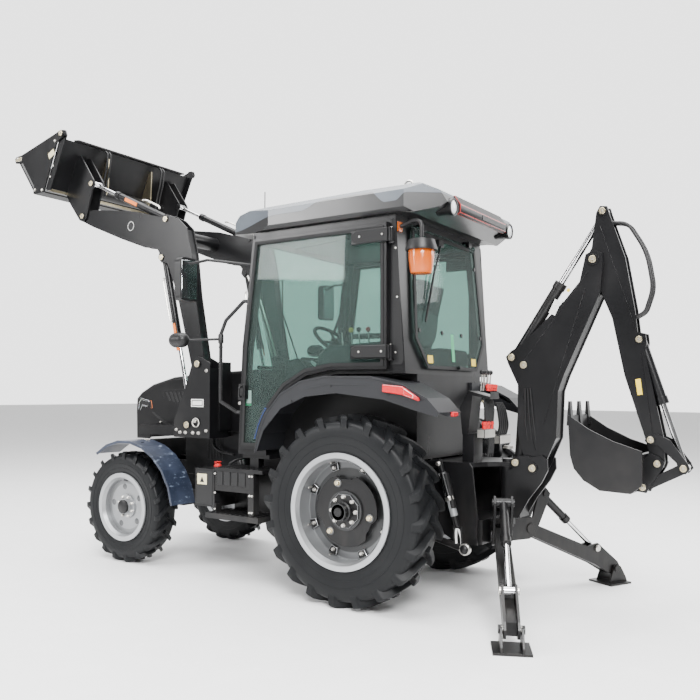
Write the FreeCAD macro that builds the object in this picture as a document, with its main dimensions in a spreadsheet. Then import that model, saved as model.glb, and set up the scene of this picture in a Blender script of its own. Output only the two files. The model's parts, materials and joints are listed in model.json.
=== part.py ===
import FreeCAD
import Part
import math
import os

# Compact backhoe loader. X points to the tractor's front, Y to its left, Z up, in millimetres.
# Outlines are drawn with the rear axle at X = 0; rear_axle_x moves the whole machine.
# Each row holds a name and a plain number.

SIZES = [
    ("rear_axle_x", -819.0),
    ("wheelbase", 2200.0),
    ("rear_tyre_radius", 620.0),
    ("rear_tyre_width", 315.0),
    ("rear_track_half", 690.0),
    ("rear_rim_radius", 378.0),
    ("front_tyre_radius", 445.0),
    ("front_tyre_width", 215.0),
    ("front_track_half", 610.0),
    ("front_rim_radius", 274.0),
    ("axle_tube_radius", 85.0),
    ("front_beam_radius", 55.0),
    ("kingpin_radius", 38.0),
    ("gearbox_width", 380.0),
    ("rail_width", 50.0),
    ("bolster_width", 420.0),
    ("engine_length", 720.0),
    ("engine_width", 270.0),
    ("engine_height", 560.0),
    ("cab_width", 1280.0),
    ("cab_inner_width", 1200.0),
    ("roof_width", 1400.0),
    ("glass_thickness", 6.0),
    ("door_frame_thickness", 28.0),
    ("fender_width", 300.0),
    ("fender_skirt", 12.0),
    ("hood_width", 610.0),
    ("hood_wall", 12.0),
    ("seat_width", 480.0),
    ("steering_wheel_radius", 190.0),
    ("rail_tube_radius", 13.0),
    ("step_width", 250.0),
    ("arm_plate", 10.0),
    ("arm_core", 60.0),
    ("arm_hub_width", 88.0),
    ("mast_plate", 12.0),
    ("mast_gap", 90.0),
    ("arm_spacing_half", 500.0),
    ("arm_pivot_x", 1510.0),
    ("arm_pivot_z", 1594.0),
    ("lift_top_x", 1932.0),
    ("lift_top_z", 2454.0),
    ("lift_base_x", 1620.0),
    ("lift_base_z", 1120.0),
    ("lift_barrel_radius", 29.0),
    ("lift_barrel_length", 705.0),
    ("lift_rod_radius", 17.0),
    ("lift_rod_length", 706.0),
    ("tilt_base_x", 1888.0),
    ("tilt_base_z", 2755.0),
    ("tilt_front_x", 2783.0),
    ("tilt_front_z", 3161.0),
    ("tilt_barrel_radius", 28.0),
    ("tilt_barrel_length", 690.0),
    ("tilt_rod_radius", 16.0),
    ("tilt_rod_length", 660.0),
    ("carrier_x", 2902.0),
    ("carrier_z", 2894.0),
    ("carrier_plate", 13.0),
    ("bucket_width", 1500.0),
    ("bucket_plate", 12.0),
    ("clam_pin_x", 2905.0),
    ("clam_pin_z", 3552.0),
    ("cross_tube_radius", 60.0),
    ("kingpost_x", -800.0),
    ("kingpost_radius", 48.0),
    ("hoe_foot_x", -1000.0),
    ("hoe_foot_z", 905.0),
    ("hoe_plate", 12.0),
    ("post_gap", 141.0),
    ("boom_width", 140.0),
    ("boom_core", 116.0),
    ("boom_lift_base_x", -885.0),
    ("boom_lift_base_z", 935.0),
    ("boom_lift_top_x", -925.0),
    ("boom_lift_top_z", 1570.0),
    ("boom_barrel_radius", 40.0),
    ("boom_barrel_length", 430.0),
    ("boom_rod_radius", 22.0),
    ("boom_rod_length", 400.0),
    ("dipper_pivot_x", -1365.0),
    ("dipper_pivot_z", 2215.0),
    ("dipper_base_x", -845.0),
    ("dipper_base_z", 1620.0),
    ("dipper_top_x", -1415.0),
    ("dipper_top_z", 2510.0),
    ("dipper_barrel_radius", 36.0),
    ("dipper_barrel_length", 560.0),
    ("dipper_rod_radius", 20.0),
    ("dipper_rod_length", 545.0),
    ("dipper_width", 90.0),
    ("dipper_core", 66.0),
    ("hoe_bucket_x", -1755.0),
    ("hoe_bucket_z", 975.0),
    ("guide_x", -1715.0),
    ("guide_z", 1115.0),
    ("apex_x", -1900.0),
    ("apex_z", 955.0),
    ("push_x", -1675.0),
    ("push_z", 830.0),
    ("curl_base_x", -1640.0),
    ("curl_base_z", 1715.0),
    ("curl_barrel_radius", 30.0),
    ("curl_barrel_length", 410.0),
    ("curl_rod_radius", 16.0),
    ("curl_rod_length", 425.0),
    ("link_plate", 11.0),
    ("hoe_bucket_width", 400.0),
    ("hoe_bucket_side", 12.0),
    ("leg_splay_deg", 26.6),
    ("leg_pivot_x", -840.0),
    ("leg_pivot_y", 200.0),
    ("leg_pivot_z", 470.0),
    ("leg_width", 90.0),
    ("leg_core", 62.0),
    ("leg_plate", 14.0),
    ("leg_barrel_radius", 27.0),
    ("leg_barrel_length", 330.0),
    ("leg_rod_radius", 16.0),
    ("leg_rod_length", 365.0),
    ("pad_length", 210.0),
    ("pad_thickness", 14.0),
    ("eye_radius", 30.0),
]

doc = FreeCAD.newDocument("backhoe_loader")
sheet = doc.addObject("Spreadsheet::Sheet", "sizes")
for row, (name, number) in enumerate(SIZES, 1):
    sheet.set("A%d" % row, name)
    sheet.set("B%d" % row, str(number))
    sheet.setAlias("B%d" % row, name)
doc.recompute()

V = FreeCAD.Vector
XZ = "XZ_Plane"
YZ = "YZ_Plane"
XY = "XY_Plane"
NODES = []
SIDES = (("left", 1), ("right", -1))


def size(name):
    return float(sheet.get(name))


def pin(name):
    return (size(name + "_x"), size(name + "_z"))


# Drawing helpers

def unique(label):
    return doc.getUniqueObjectName(label)


def corner(before, here, after, radius):
    a = (V(*before, 0) - V(*here, 0)).normalize()
    b = (V(*after, 0) - V(*here, 0)).normalize()
    half = a.getAngle(b) / 2
    reach = radius / math.tan(half)
    start = V(*here, 0) + a * reach
    end = V(*here, 0) + b * reach
    middle = V(*here, 0) + (a + b).normalize() * (radius / math.sin(half) - radius)
    return start, middle, end


def draw(sketch, points, holes=()):
    count = len(points)
    runs = []
    for i, point in enumerate(points):
        here = point[:2]
        if len(point) > 2:
            before = points[i - 1][:2]
            after = points[(i + 1) % count][:2]
            runs.append(corner(before, here, after, point[2]))
        else:
            runs.append((V(*here, 0), None, V(*here, 0)))
    for i, (start, middle, end) in enumerate(runs):
        if middle is not None:
            sketch.addGeometry(Part.Arc(start, middle, end), False)
        following = runs[(i + 1) % count][0]
        if end.distanceToPoint(following) > 1e-6:
            sketch.addGeometry(Part.LineSegment(end, following), False)
    for a, b, radius in holes:
        sketch.addGeometry(Part.Circle(V(a, b, 0), V(0, 0, 1), radius), False)


def add_sketch(body, plane, points, holes=()):
    sketch = body.newObject("Sketcher::SketchObject", unique("outline"))
    base = [f for f in body.Origin.OriginFeatures if f.Role == plane][0]
    sketch.AttachmentSupport = (base, [""])
    sketch.MapMode = "FlatFace"
    draw(sketch, points, holes)
    return sketch


def set_length(feature, prop, length):
    if isinstance(length, str):
        feature.setExpression(prop, "sizes." + length)
    else:
        setattr(feature, prop, length)


def plate(plane, points, length, at=(0, 0, 0), holes=(), turn=None):
    """A sketched outline padded to both sides of its plane."""
    body = doc.addObject("PartDesign::Body", unique("plate"))
    sketch = add_sketch(body, plane, points, holes)
    pad = body.newObject("PartDesign::Pad", unique("pad"))
    pad.Profile = sketch
    pad.SideType = "Symmetric"
    set_length(pad, "Length", length)
    body.Placement = FreeCAD.Placement(V(*at), turn or FreeCAD.Rotation())
    return body


def pocket(body, plane, points, length, holes=()):
    sketch = add_sketch(body, plane, points, holes)
    cut = body.newObject("PartDesign::Pocket", unique("pocket"))
    cut.Profile = sketch
    cut.SideType = "Symmetric"
    set_length(cut, "Length", length)
    return cut


def ring(points, at_y):
    """A profile of (y, radius) points turned about the wheel's own axis."""
    body = doc.addObject("PartDesign::Body", unique("ring"))
    sketch = add_sketch(body, YZ, points)
    turned = body.newObject("PartDesign::Revolution", unique("turn"))
    turned.Profile = sketch
    turned.ReferenceAxis = (sketch, ["H_Axis"])
    turned.Angle = 360
    body.Placement.Base = V(*at_y)
    return body


def rod(start, end, radius):
    """A round bar between two points."""
    a = V(*start)
    b = V(*end)
    bar = doc.addObject("Part::Cylinder", unique("bar"))
    set_length(bar, "Radius", radius)
    bar.Height = (b - a).Length
    bar.Placement = FreeCAD.Placement(a, FreeCAD.Rotation(V(0, 0, 1), b - a))
    return bar


def hub(x, z, y, width, radius):
    return rod((x, y - width / 2, z), (x, y + width / 2, z), radius)


def box(low, high):
    block = doc.addObject("Part::Box", unique("box"))
    block.Length = high[0] - low[0]
    block.Width = high[1] - low[1]
    block.Height = high[2] - low[2]
    block.Placement.Base = V(*low)
    return block


def ball(at, radius):
    round_end = doc.addObject("Part::Sphere", unique("ball"))
    set_length(round_end, "Radius", radius)
    round_end.Placement.Base = V(*at)
    return round_end


def fuse(pieces, refine=True):
    joined = doc.addObject("Part::MultiFuse", unique("joined"))
    joined.Shapes = pieces
    joined.Refine = refine
    return joined


def cut(base, tools):
    result = doc.addObject("Part::Cut", unique("cut"))
    result.Base = base
    result.Tool = tools[0] if len(tools) == 1 else fuse(tools)
    result.Refine = True
    return result


def tube_path(points, radius):
    pieces = []
    for a, b in zip(points, points[1:]):
        pieces.append(rod(a, b, radius))
    for a in points[1:-1]:
        pieces.append(ball(a, radius))
    return pieces


def node(label, pieces, refine=True):
    """Names a finished sub-part and moves it with the rear axle."""
    whole = pieces[0] if len(pieces) == 1 else fuse(pieces, refine)
    whole.Label = label
    whole.setExpression("Placement.Base.x", "sizes.rear_axle_x + %s" % whole.Placement.Base.x)
    NODES.append(whole)
    return whole


def round_end(points, centre, radius, toward):
    """Adds an octagonal eye around a pin, used at the end of a plate outline."""
    angle = math.atan2(toward[1] - centre[1], toward[0] - centre[0])
    steps = [angle + math.radians(a) for a in (90, 135, 180, 225, 270)]
    for a in steps:
        points.append((centre[0] + radius * math.cos(a), centre[1] + radius * math.sin(a)))
    return points


def eye_link(a, b, radius_a, radius_b):
    """Outline of a flat link with rounded ends between two pins."""
    points = round_end([], a, radius_a, b)
    return round_end(points, b, radius_b, a)


# Hydraulic cylinders: a barrel with an eye at its base and a rod with an eye at its far end.

def direction(a, b):
    away = V(b[0] - a[0], 0, b[1] - a[1])
    return away.normalize()


def along(start, way, distance, y):
    return (start[0] + way.x * distance, y, start[1] + way.z * distance)


def barrel(a, b, y, name, hub_width):
    way = direction(a, b)
    length = size(name + "_barrel_length")
    radius = name + "_barrel_radius"
    tube = rod(along(a, way, 12, y), along(a, way, length, y), radius)
    gland = rod(along(a, way, length - 45, y), along(a, way, length, y), size(radius) + 5)
    bore_radius = size(name + "_rod_radius") + 0.3
    bore = rod(along(a, way, 33, y), along(a, way, length + 5, y), bore_radius)
    body = cut(fuse([tube, gland]), [bore])
    return [fuse([body, cut(hub(a[0], a[1], y, hub_width, "eye_radius"), [rod(along(a, way, 33, y),
            along(a, way, 90, y), bore_radius)])])]


def piston_rod(a, b, y, name, hub_width):
    way = direction(b, a)
    length = size(name + "_rod_length")
    bar = rod((b[0], y, b[1]), along(b, way, length, y), name + "_rod_radius")
    return [fuse([bar, hub(b[0], b[1], y, hub_width, size("eye_radius") - 4)])]


# Tractor chassis

def chassis_frame():
    front = size("wheelbase")
    half = size("gearbox_width") / 2
    gearbox = plate(XZ, [(-300, 480), (-300, 860), (-250, 899.7), (1150, 899.7), (1150, 500)], "gearbox_width")
    pieces = [gearbox, box((-340, -160, 560), (-300, 160, 880))]
    for _, side in SIDES:
        y = side * (half - 25)
        rail = [(1150, 560), (1150, 800), (front + 240, 800), (front + 240, 600), (front - 150, 560)]
        pieces.append(plate(XZ, rail, "rail_width", (0, y, 0)))
        pieces.append(box((1480, min(side * 190, side * 349.7), 1022), (1720, max(side * 190, side * 349.7), 1061.7)))
        pieces.append(box((1560, min(side * 160, side * 200), 780), (1660, max(side * 160, side * 200), 1061.7)))
    pieces.append(plate(XZ, [(front + 200, 580), (front + 200, 960), (front + 285, 960), (front + 285, 620)],
                        "bolster_width"))
    pieces.append(box((front - 90, -110, 550), (front + 90, 110, 600)))
    pieces.append(box((front - 150, -185, 590), (front + 240, 185, 640)))
    pieces.append(box((1150, -185, 560), (1230, 185, 800)))
    hook = plate(XZ, [(front + 270, 640), (front + 270, 720), (front + 352, 720, 24), (front + 352, 640, 24)],
                 60, (0, 0, 0), [(front + 318, 680, 16)])
    pieces.append(hook)
    node("chassis_frame", pieces)


def engine_block():
    block = doc.addObject("Part::Box", "engine_block")
    block.setExpression("Length", "sizes.engine_length")
    block.setExpression("Width", "sizes.engine_width")
    block.setExpression("Height", "sizes.engine_height")
    block.Placement.Base = V(1230.3, -size("engine_width") / 2, 640)
    node("engine_block", [block])


def axle_housings():
    front = size("wheelbase")
    rear_z = size("rear_tyre_radius")
    front_z = size("front_tyre_radius")
    pieces = [rod((front, -415, front_z), (front, 415, front_z), "front_beam_radius")]
    pieces.append(box((front - 60, -80, 390), (front + 60, 80, 549.7)))
    for _, side in SIDES:
        for z in (front_z - 92, front_z + 62):
            low = min(side * 400, side * 500)
            high = max(side * 400, side * 500)
            pieces.append(box((front - 42, low, z), (front + 42, high, z + 30)))
        pieces.append(box((front - 42, min(side * 385, side * 415), front_z - 92),
                          (front + 42, max(side * 385, side * 415), front_z + 92)))
        pieces.append(rod((0, side * 190.3, rear_z), (0, side * 498, rear_z), "axle_tube_radius"))
        pieces.append(rod((0, side * 440, rear_z), (0, side * 498, rear_z), 125))
    node("axle_housings", pieces)


# Wheels

def tyre_profile(radius, width, rim, centre):
    half = width / 2
    bead = rim - 22
    return [(centre - half * 0.86, bead), (centre - half * 0.86, rim + 2), (centre - half * 0.94, rim + 0.3 * (radius - rim)),
            (centre - half, rim + 0.62 * (radius - rim)), (centre - half * 0.93, radius - 22),
            (centre - half * 0.72, radius), (centre + half * 0.72, radius), (centre + half * 0.93, radius - 22),
            (centre + half, rim + 0.62 * (radius - rim)), (centre + half * 0.94, rim + 0.3 * (radius - rim)),
            (centre + half * 0.86, rim + 2), (centre + half * 0.86, bead)]


def rim_profile(rim, width, centre, side, dish):
    half = width / 2 * 0.86
    inner = rim - 22
    edge = half + 12
    return [(centre - edge, inner - 30), (centre - edge, rim), (centre - half - 0.2, rim),
            (centre - half - 0.2, inner - 0.2), (centre + half + 0.2, inner - 0.2), (centre + half + 0.2, rim),
            (centre + edge, rim), (centre + edge, inner - 14), (centre + half - 14, inner - 30),
            (centre - half + 14, inner - 30)]


def wheel(name, side, x, radius, width, rim, track, disc_y, hub_in, hub_out):
    centre = side * track
    tyre = ring(tyre_profile(radius, width, rim, 0), (x, centre, radius))
    node(name + "_tyre", [tyre])
    barrel_ring = ring(rim_profile(rim, width, 0, side, 0), (x, centre, radius))
    disc = [(disc_y, 0), (disc_y, rim - 45), (disc_y + 14, rim - 45), (disc_y + 14, 0)]
    web = ring(disc, (x, 0, radius))
    if side < 0:
        web.Placement = FreeCAD.Placement(V(x, 0, radius), FreeCAD.Rotation(V(0, 0, 1), 180))
    pieces = [barrel_ring, web]
    return centre, pieces


def rear_wheels():
    radius = size("rear_tyre_radius")
    for name, side in SIDES:
        _, pieces = wheel("rear_%s" % name, side, 0, radius, size("rear_tyre_width"), size("rear_rim_radius"),
                          size("rear_track_half"), 690, 505, 800)
        pieces.append(rod((0, side * 505, radius), (0, side * 700, radius), 92))
        pieces.append(rod((0, side * 704, radius), (0, side * 735, radius), 205))
        pieces.append(rod((0, side * 735, radius), (0, side * 760, radius), 128))
        pieces.append(rod((0, side * 760, radius), (0, side * 838, radius), 55))
        node("rear_%s_rim" % name, pieces)


def front_wheels():
    x = size("wheelbase")
    radius = size("front_tyre_radius")
    for name, side in SIDES:
        _, pieces = wheel("front_%s" % name, side, x, radius, size("front_tyre_width"), size("front_rim_radius"),
                          size("front_track_half"), 640, 560, 700)
        pieces.append(rod((x, side * 560, radius), (x, side * 654, radius), 62))
        pieces.append(rod((x, side * 654, radius), (x, side * 668, radius), 100))
        pieces.append(rod((x, side * 668, radius), (x, side * 705, radius), 52))
        node("front_%s_rim" % name, pieces)


def knuckles():
    x = size("wheelbase")
    z = size("front_tyre_radius")
    for name, side in SIDES:
        y = side * 462
        post = rod((x, y, z - 61.7), (x, y, z + 61.7), "kingpin_radius")
        stub = rod((x, side * 470, z), (x, side * 555, z), 50)
        low = min(side * 470, side * 494)
        high = max(side * 470, side * 494)
        stay = box((x - 115, low, z), (x - 84, high, 965))
        foot = box((x - 115, min(side * 462, side * 494), z - 40), (x - 20, max(side * 462, side * 494), z + 50))
        node("%s_knuckle" % name, [post, stub, stay, foot])


def arc_points(cx, cz, radius, first, last, count):
    points = []
    for i in range(count):
        a = math.radians(first + (last - first) * i / (count - 1))
        points.append((cx + radius * math.cos(a), cz + radius * math.sin(a)))
    return points


def front_fenders():
    x = size("wheelbase") - 40
    outer = arc_points(x, 430, 556, 52, 172, 9)
    inner = arc_points(x, 430, 548, 172, 52, 9)
    for name, side in SIDES:
        skin = plate(XZ, outer + inner, 245, (0, side * 602, 0))
        lip = plate(XZ, outer + arc_points(x, 430, 536, 172, 52, 9), 8, (0, side * 722, 0))
        low = min(side * 494.2, side * 560)
        high = max(side * 494.2, side * 560)
        strap = box((x - 75, low, 940), (x - 44, high, 978))
        node("front_%s_fender" % name, [skin, lip, strap])


# Hood

def hood():
    body = doc.addObject("PartDesign::Body", "hood")
    profile = [(1150, 1062), (1150, 1555), (1700, 1530), (2050, 1500), (2300, 1440), (2440, 1372, 60),
               (2500, 1320, 25), (2506, 1200), (2500, 975), (2330, 975), (2290, 1062)]
    sketch = add_sketch(body, XZ, profile)
    pad = body.newObject("PartDesign::Pad", "hood_pad")
    pad.Profile = sketch
    pad.SideType = "Symmetric"
    set_length(pad, "Length", "hood_width")
    doc.recompute()
    names = []
    for i, edge in enumerate(pad.Shape.Edges, 1):
        box_ = edge.BoundBox
        if box_.YLength < 1 and box_.ZMin > 1290 and box_.XMin > 1151 or (
                box_.YLength < 1 and box_.ZMin > 1500 and box_.XMin > 1149 and box_.XMax < 1750):
            names.append("Edge%d" % i)
    fillet = body.newObject("PartDesign::Fillet", "hood_edges")
    fillet.Base = (pad, names)
    fillet.Radius = 30
    inside = [(1100, 1000), (1100, 1541), (1700, 1516), (2050, 1486), (2300, 1425), (2430, 1360),
              (2486, 1310), (2492, 1200), (2486, 900), (1800, 900)]
    hollow = pocket(body, XZ, inside, size("hood_width") - 2 * size("hood_wall"))
    hollow.Label = "hood_hollow"
    node("hood", [body])


# Cab

FENDER_TOP = [(742, 970), (712, 1100), (642, 1240), (522, 1370), (352, 1458), (150, 1490), (-200, 1486),
              (-420, 1442), (-600, 1352), (-682, 1268)]


def cab_frame():
    body = doc.addObject("PartDesign::Body", "cab_frame_shell")
    outline = [(1020, 930), (985, 1700), (880, 2520), (-290, 2520), (-372, 1505.3), (150, 1505.3), (358, 1472),
               (532, 1383), (655, 1250), (726, 1105), (757, 975), (757, 930)]
    sketch = add_sketch(body, XZ, outline)
    pad = body.newObject("PartDesign::Pad", "cab_frame_pad")
    pad.Profile = sketch
    pad.SideType = "Symmetric"
    set_length(pad, "Length", "cab_width")
    inside = [(975, 965), (940, 1700), (842, 2470), (-245, 2470), (-325, 1532), (160, 1532), (372, 1497),
              (552, 1403), (680, 1265), (752, 1115), (785, 985), (790, 965)]
    pocket(body, XZ, inside, "cab_inner_width")
    opening = [(950, 1000), (925, 1700), (833, 2440), (-215, 2440), (-225, 1560), (180, 1560), (390, 1525),
               (572, 1428), (705, 1285), (780, 1125), (810, 1000)]
    pocket(body, XZ, opening, 1400)
    front = body.newObject("Sketcher::SketchObject", "windscreen_outline")
    base = [f for f in body.Origin.OriginFeatures if f.Role == YZ][0]
    front.AttachmentSupport = (base, [""])
    front.MapMode = "FlatFace"
    front.AttachmentOffset.Base = V(0, 0, 760)
    draw(front, [(-585, 1010, 60), (585, 1010, 60), (540, 2440, 40), (-540, 2440, 40)])
    hole = body.newObject("PartDesign::Pocket", "windscreen_hole")
    hole.Profile = front
    hole.Reversed = True
    hole.Length = 400
    rear = body.newObject("Sketcher::SketchObject", "rear_window_outline")
    rear.AttachmentSupport = (base, [""])
    rear.MapMode = "FlatFace"
    rear.AttachmentOffset.Base = V(0, 0, -150)
    draw(rear, [(-355, 1560), (-500, 1750), (-455, 2440), (455, 2440), (500, 1750), (355, 1560)])
    hole = body.newObject("PartDesign::Pocket", "rear_window_hole")
    hole.Profile = rear
    hole.Length = 400
    pieces = [body]
    pieces.append(box((-372, -485, 960), (-352, 485, 1508)))
    for _, side in SIDES:
        pieces.append(box((-360, min(side * 470, side * 485), 944), (757, max(side * 470, side * 485), 985)))
        wall = [(-360, 960), (-360, 1510), (150, 1510), (358, 1475), (532, 1386), (655, 1253), (726, 1108),
                (760, 975), (760, 960)]
        pieces.append(plate(XZ, wall, 15, (0, side * 477.5, 0)))
        for z in (1588, 2328):
            low = min(side * 630, side * 676)
            high = max(side * 630, side * 676)
            pieces.append(box((-292, low, z), (-262, high, z + 12)))
    pieces.append(box((-360, -485, 944), (757, 485, 960)))
    pieces.append(box((1000, -250, 905), (1120, 250, 932)))
    pieces.append(box((760, -600, 900), (1010, 600, 932)))
    pieces.append(box((985, -430, 930), (1045, 430, 1550)))
    for _, side in SIDES:
        bracket = [(-345, 2448), (-324, 2448), (-324, 2477), (-288, 2477), (-288, 2492), (-345, 2492)]
        pieces.append(plate(XZ, bracket, 44, (0, side * 352.6, 0)))
    node("cab_frame", pieces)


def cab_roof():
    outline = [(1140, 2545), (1125, 2625), (1060, 2672), (800, 2700), (0, 2722), (-430, 2708), (-560, 2650),
               (-600, 2575), (-560, 2545), (-420, 2505), (-330, 2520.3), (900, 2520.3), (1000, 2530)]
    shell = plate(XZ, outline, "roof_width")
    shape = [(1160, -560, 90), (1160, 560, 90), (700, 701), (-380, 701), (-640, 500, 60),
             (-640, -500, 60), (-380, -701), (700, -701)]
    trim = plate(XY, shape, 800, (0, 0, 2600))
    common = doc.addObject("Part::MultiCommon", unique("trimmed"))
    common.Shapes = [shell, trim]
    slopes = []
    for _, side in SIDES:
        wedge = plate(YZ, [(side * 520, 2740), (side * 720, 2740), (side * 720, 2640)], 3000)
        slopes.append(wedge)
        slopes.append(plate(YZ, [(side * 660, 2510), (side * 720, 2510), (side * 720, 2560)], 3000))
        slopes.append(rod((-499.6, side * 455, 2560.01), (-660, side * 455, 2554.28), 55.3))
    shell = cut(common, slopes)
    pieces = [shell]
    for _, side in SIDES:
        pieces.append(plate(XZ, [(-320, 2690), (-320, 2740), (-270, 2740), (-270, 2690)], 12,
                            (0, side * 480, 0), [(-295, 2724, 8)]))
    node("cab_roof", pieces, False)


def windscreen():
    strip = [(1016.5, 1000), (985.2, 1700), (882.2, 2500), (888.2, 2500.8), (991.2, 1700.8), (1022.5, 1000.3)]
    strip = [(x + 0.9, z) for x, z in strip]
    pane = plate(XZ, strip, 1180)
    node("windscreen", [cut(pane, [box((900, -430.3, 900), (1100, 430.3, 1550.3))])])


def door_outline(grow):
    g = grow
    return [(968 + g, 985 - g), (941 + g, 1700), (850 + g, 2455 + g), (-232 - g, 2455 + g), (-240 - g, 1545 - g),
            (175 - g * 0.3, 1545 - g), (384 - g * 0.5, 1509 - g), (564 - g * 0.8, 1413 - g * 0.8),
            (694 - g, 1272 - g * 0.6), (768 - g, 1118 - g * 0.4), (795 - g, 985 - g)]


def doors():
    middle = size("cab_width") / 2 + 5 + size("door_frame_thickness") / 2
    for name, side in SIDES:
        y = side * middle
        body = plate(XZ, door_outline(12), "door_frame_thickness", (0, y, 0))
        pocket(body, XZ, door_outline(-18), 60)
        pieces = [body]
        face = side * (size("cab_width") / 2 + 5 + size("door_frame_thickness"))
        for z in (1600.3, 2340.3):
            low = min(face - side * 8, face + side * 20)
            high = max(face - side * 8, face + side * 20)
            pieces.append(box((-262, low, z), (10, high, z + 88)))
            pieces.append(rod((-276, side * 664, z), (-276, side * 664, z + 88), 12))
            pieces.append(box((-278, min(side * 668, side * 688), z), (-255, max(side * 668, side * 688), z + 88)))
        low = min(face - side * 8, face + side * 34)
        high = max(face - side * 8, face + side * 34)
        pieces.append(box((905, low, 1330), (958, high, 1430)))
        node("%s_door" % name, pieces)
        glass = plate(XZ, door_outline(-18.15), "glass_thickness", (0, side * (middle - 3), 0))
        node("%s_door_glass" % name, [glass])


def rear_window():
    tilt = math.degrees(math.atan2(82, 1014.7))
    outline = [(-380, -930), (-530, -735), (-480, 0), (480, 0), (530, -735), (380, -930)]
    body = plate(YZ, outline, "glass_thickness")
    body.Placement = FreeCAD.Placement(V(-314, 0, 2470), FreeCAD.Rotation(V(0, 1, 0), tilt))
    pieces = [body]
    for _, side in SIDES:
        pieces.append(hub(-322, 2455, side * 420, 90, 9))
        pieces.append(box((-326, side * 420 - 40, 2425), (-308, side * 420 + 40, 2458)))
    node("rear_window", pieces)


def rear_fenders():
    inner = [(x - 0.35 * (x - 20) * 12 / 300 if False else x, z) for x, z in FENDER_TOP]
    pieces = []
    lower = [(728, 972), (699, 1094), (631, 1230), (514, 1358), (348, 1445), (148, 1477), (-199, 1473),
             (-416, 1430), (-592, 1342), (-670, 1262)]
    band = [(724, 970), (662, 1118), (512, 1272), (312, 1352), (60, 1378), (-300, 1340), (-500, 1282),
            (-670, 1240)]
    for _, side in SIDES:
        start = size("cab_width") / 2 - 154.8
        centre = side * (start + size("fender_width") / 2)
        pieces.append(plate(XZ, inner + lower[::-1], "fender_width", (0, centre, 0)))
        skirt_y = side * (start + size("fender_width") - size("fender_skirt") / 2)
        pieces.append(plate(XZ, inner + band[::-1], "fender_skirt", (0, skirt_y, 0)))
        tail = [(-352.5, 1420), (-640, 1300), (-682, 1268), (-670, 1240), (-480, 1290), (-352.5, 1330)]
        pieces.append(plate(XZ, tail, 150, (0, side * 560, 0)))
        low = min(side * 300, side * 490)
        high = max(side * 300, side * 490)
        pieces.append(box((-392, low, 1330), (-372.3, high, 1460)))
    node("rear_fenders", pieces)


def lamps():
    pieces = []
    for _, side in SIDES:
        y = side * 455
        pieces.append(rod((-500, y, 2560), (-612, y, 2556), 55))
        shape = [(-300, 1388), (-300, 1436), (-440, 1425), (-560, 1352), (-560, 1330), (-440, 1368)]
        pieces.append(plate(XZ, shape, 22, (0, side * (size("cab_width") / 2 + 145.2 + 11.2), 0)))
        low = min(side * 560, side * 620)
        high = max(side * 560, side * 620)
        pieces.append(box((-700, low, 1243), (-682.3, high, 1268)))
    node("lamps", pieces)


def operator_seat():
    cushion = plate(XZ, [(-80, 1560), (-80, 1680, 30), (420, 1700, 40), (440, 1600, 30), (400, 1560)], "seat_width")
    back = plate(XZ, [(-80, 1600), (-190, 2160, 30), (-80, 2190, 40), (30, 1680)], "seat_width")
    base = box((0, -180, 1532.3), (320, 180, 1575))
    rests = [box((0, 250, 1760), (300, 310, 1800)), box((0, -310, 1760), (300, -250, 1800))]
    stays = [box((-60, 230, 1640), (10, 262, 1800)), box((-60, -262, 1640), (10, -230, 1800))]
    node("operator_seat", [cushion, back, base] + rests + stays)


def dashboard():
    shell = plate(XZ, [(800, 965.3), (800, 1240), (700, 1300), (690, 1520, 30), (800, 1640, 40), (925, 1620, 20),
                       (962, 1000), (960, 965.3)], 420)
    column = rod((760, 0, 1560), (600, 0, 1760), 28)
    wheel_ring = doc.addObject("Part::Torus", "steering_wheel")
    wheel_ring.setExpression("Radius1", "sizes.steering_wheel_radius")
    wheel_ring.Radius2 = 14
    wheel_ring.Placement = FreeCAD.Placement(V(600, 0, 1760), FreeCAD.Rotation(V(0, 0, 1), V(-160, 0, 200)))
    spoke = rod((600, -190, 1760), (600, 190, 1760), 10)
    node("dashboard", [shell, column, wheel_ring, spoke])


def side_steps():
    pieces = []
    for _, side in SIDES:
        def block(x0, y0, z0, x1, y1, z1):
            low = min(side * y0, side * y1)
            high = max(side * y0, side * y1)
            return box((x0, low, z0), (x1, high, z1))
        pieces.append(block(1200, 450, 530, 1390, 700, 810))
        pieces.append(block(740, 450, 800, 1205, 700, 826))
        pieces.append(block(820, 675, 655, 1205, 695, 805))
        pieces.append(block(820, 640, 480, 872, 700, 805))
        pieces.append(block(1180, 640, 480, 1205, 700, 560))
        pieces.append(block(760, 470, 452, 1265, 722, 492))
        pieces.append(block(820, 450, 470, 1205, 470, 805))
        pieces.append(block(900, 190.3, 640, 960, 455, 700))
        pieces.append(block(1090, 190.3, 640, 1150, 455, 700))
        pieces.append(block(860, 560, 815, 940, 600, 899.7))
    node("side_steps", pieces)


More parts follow.
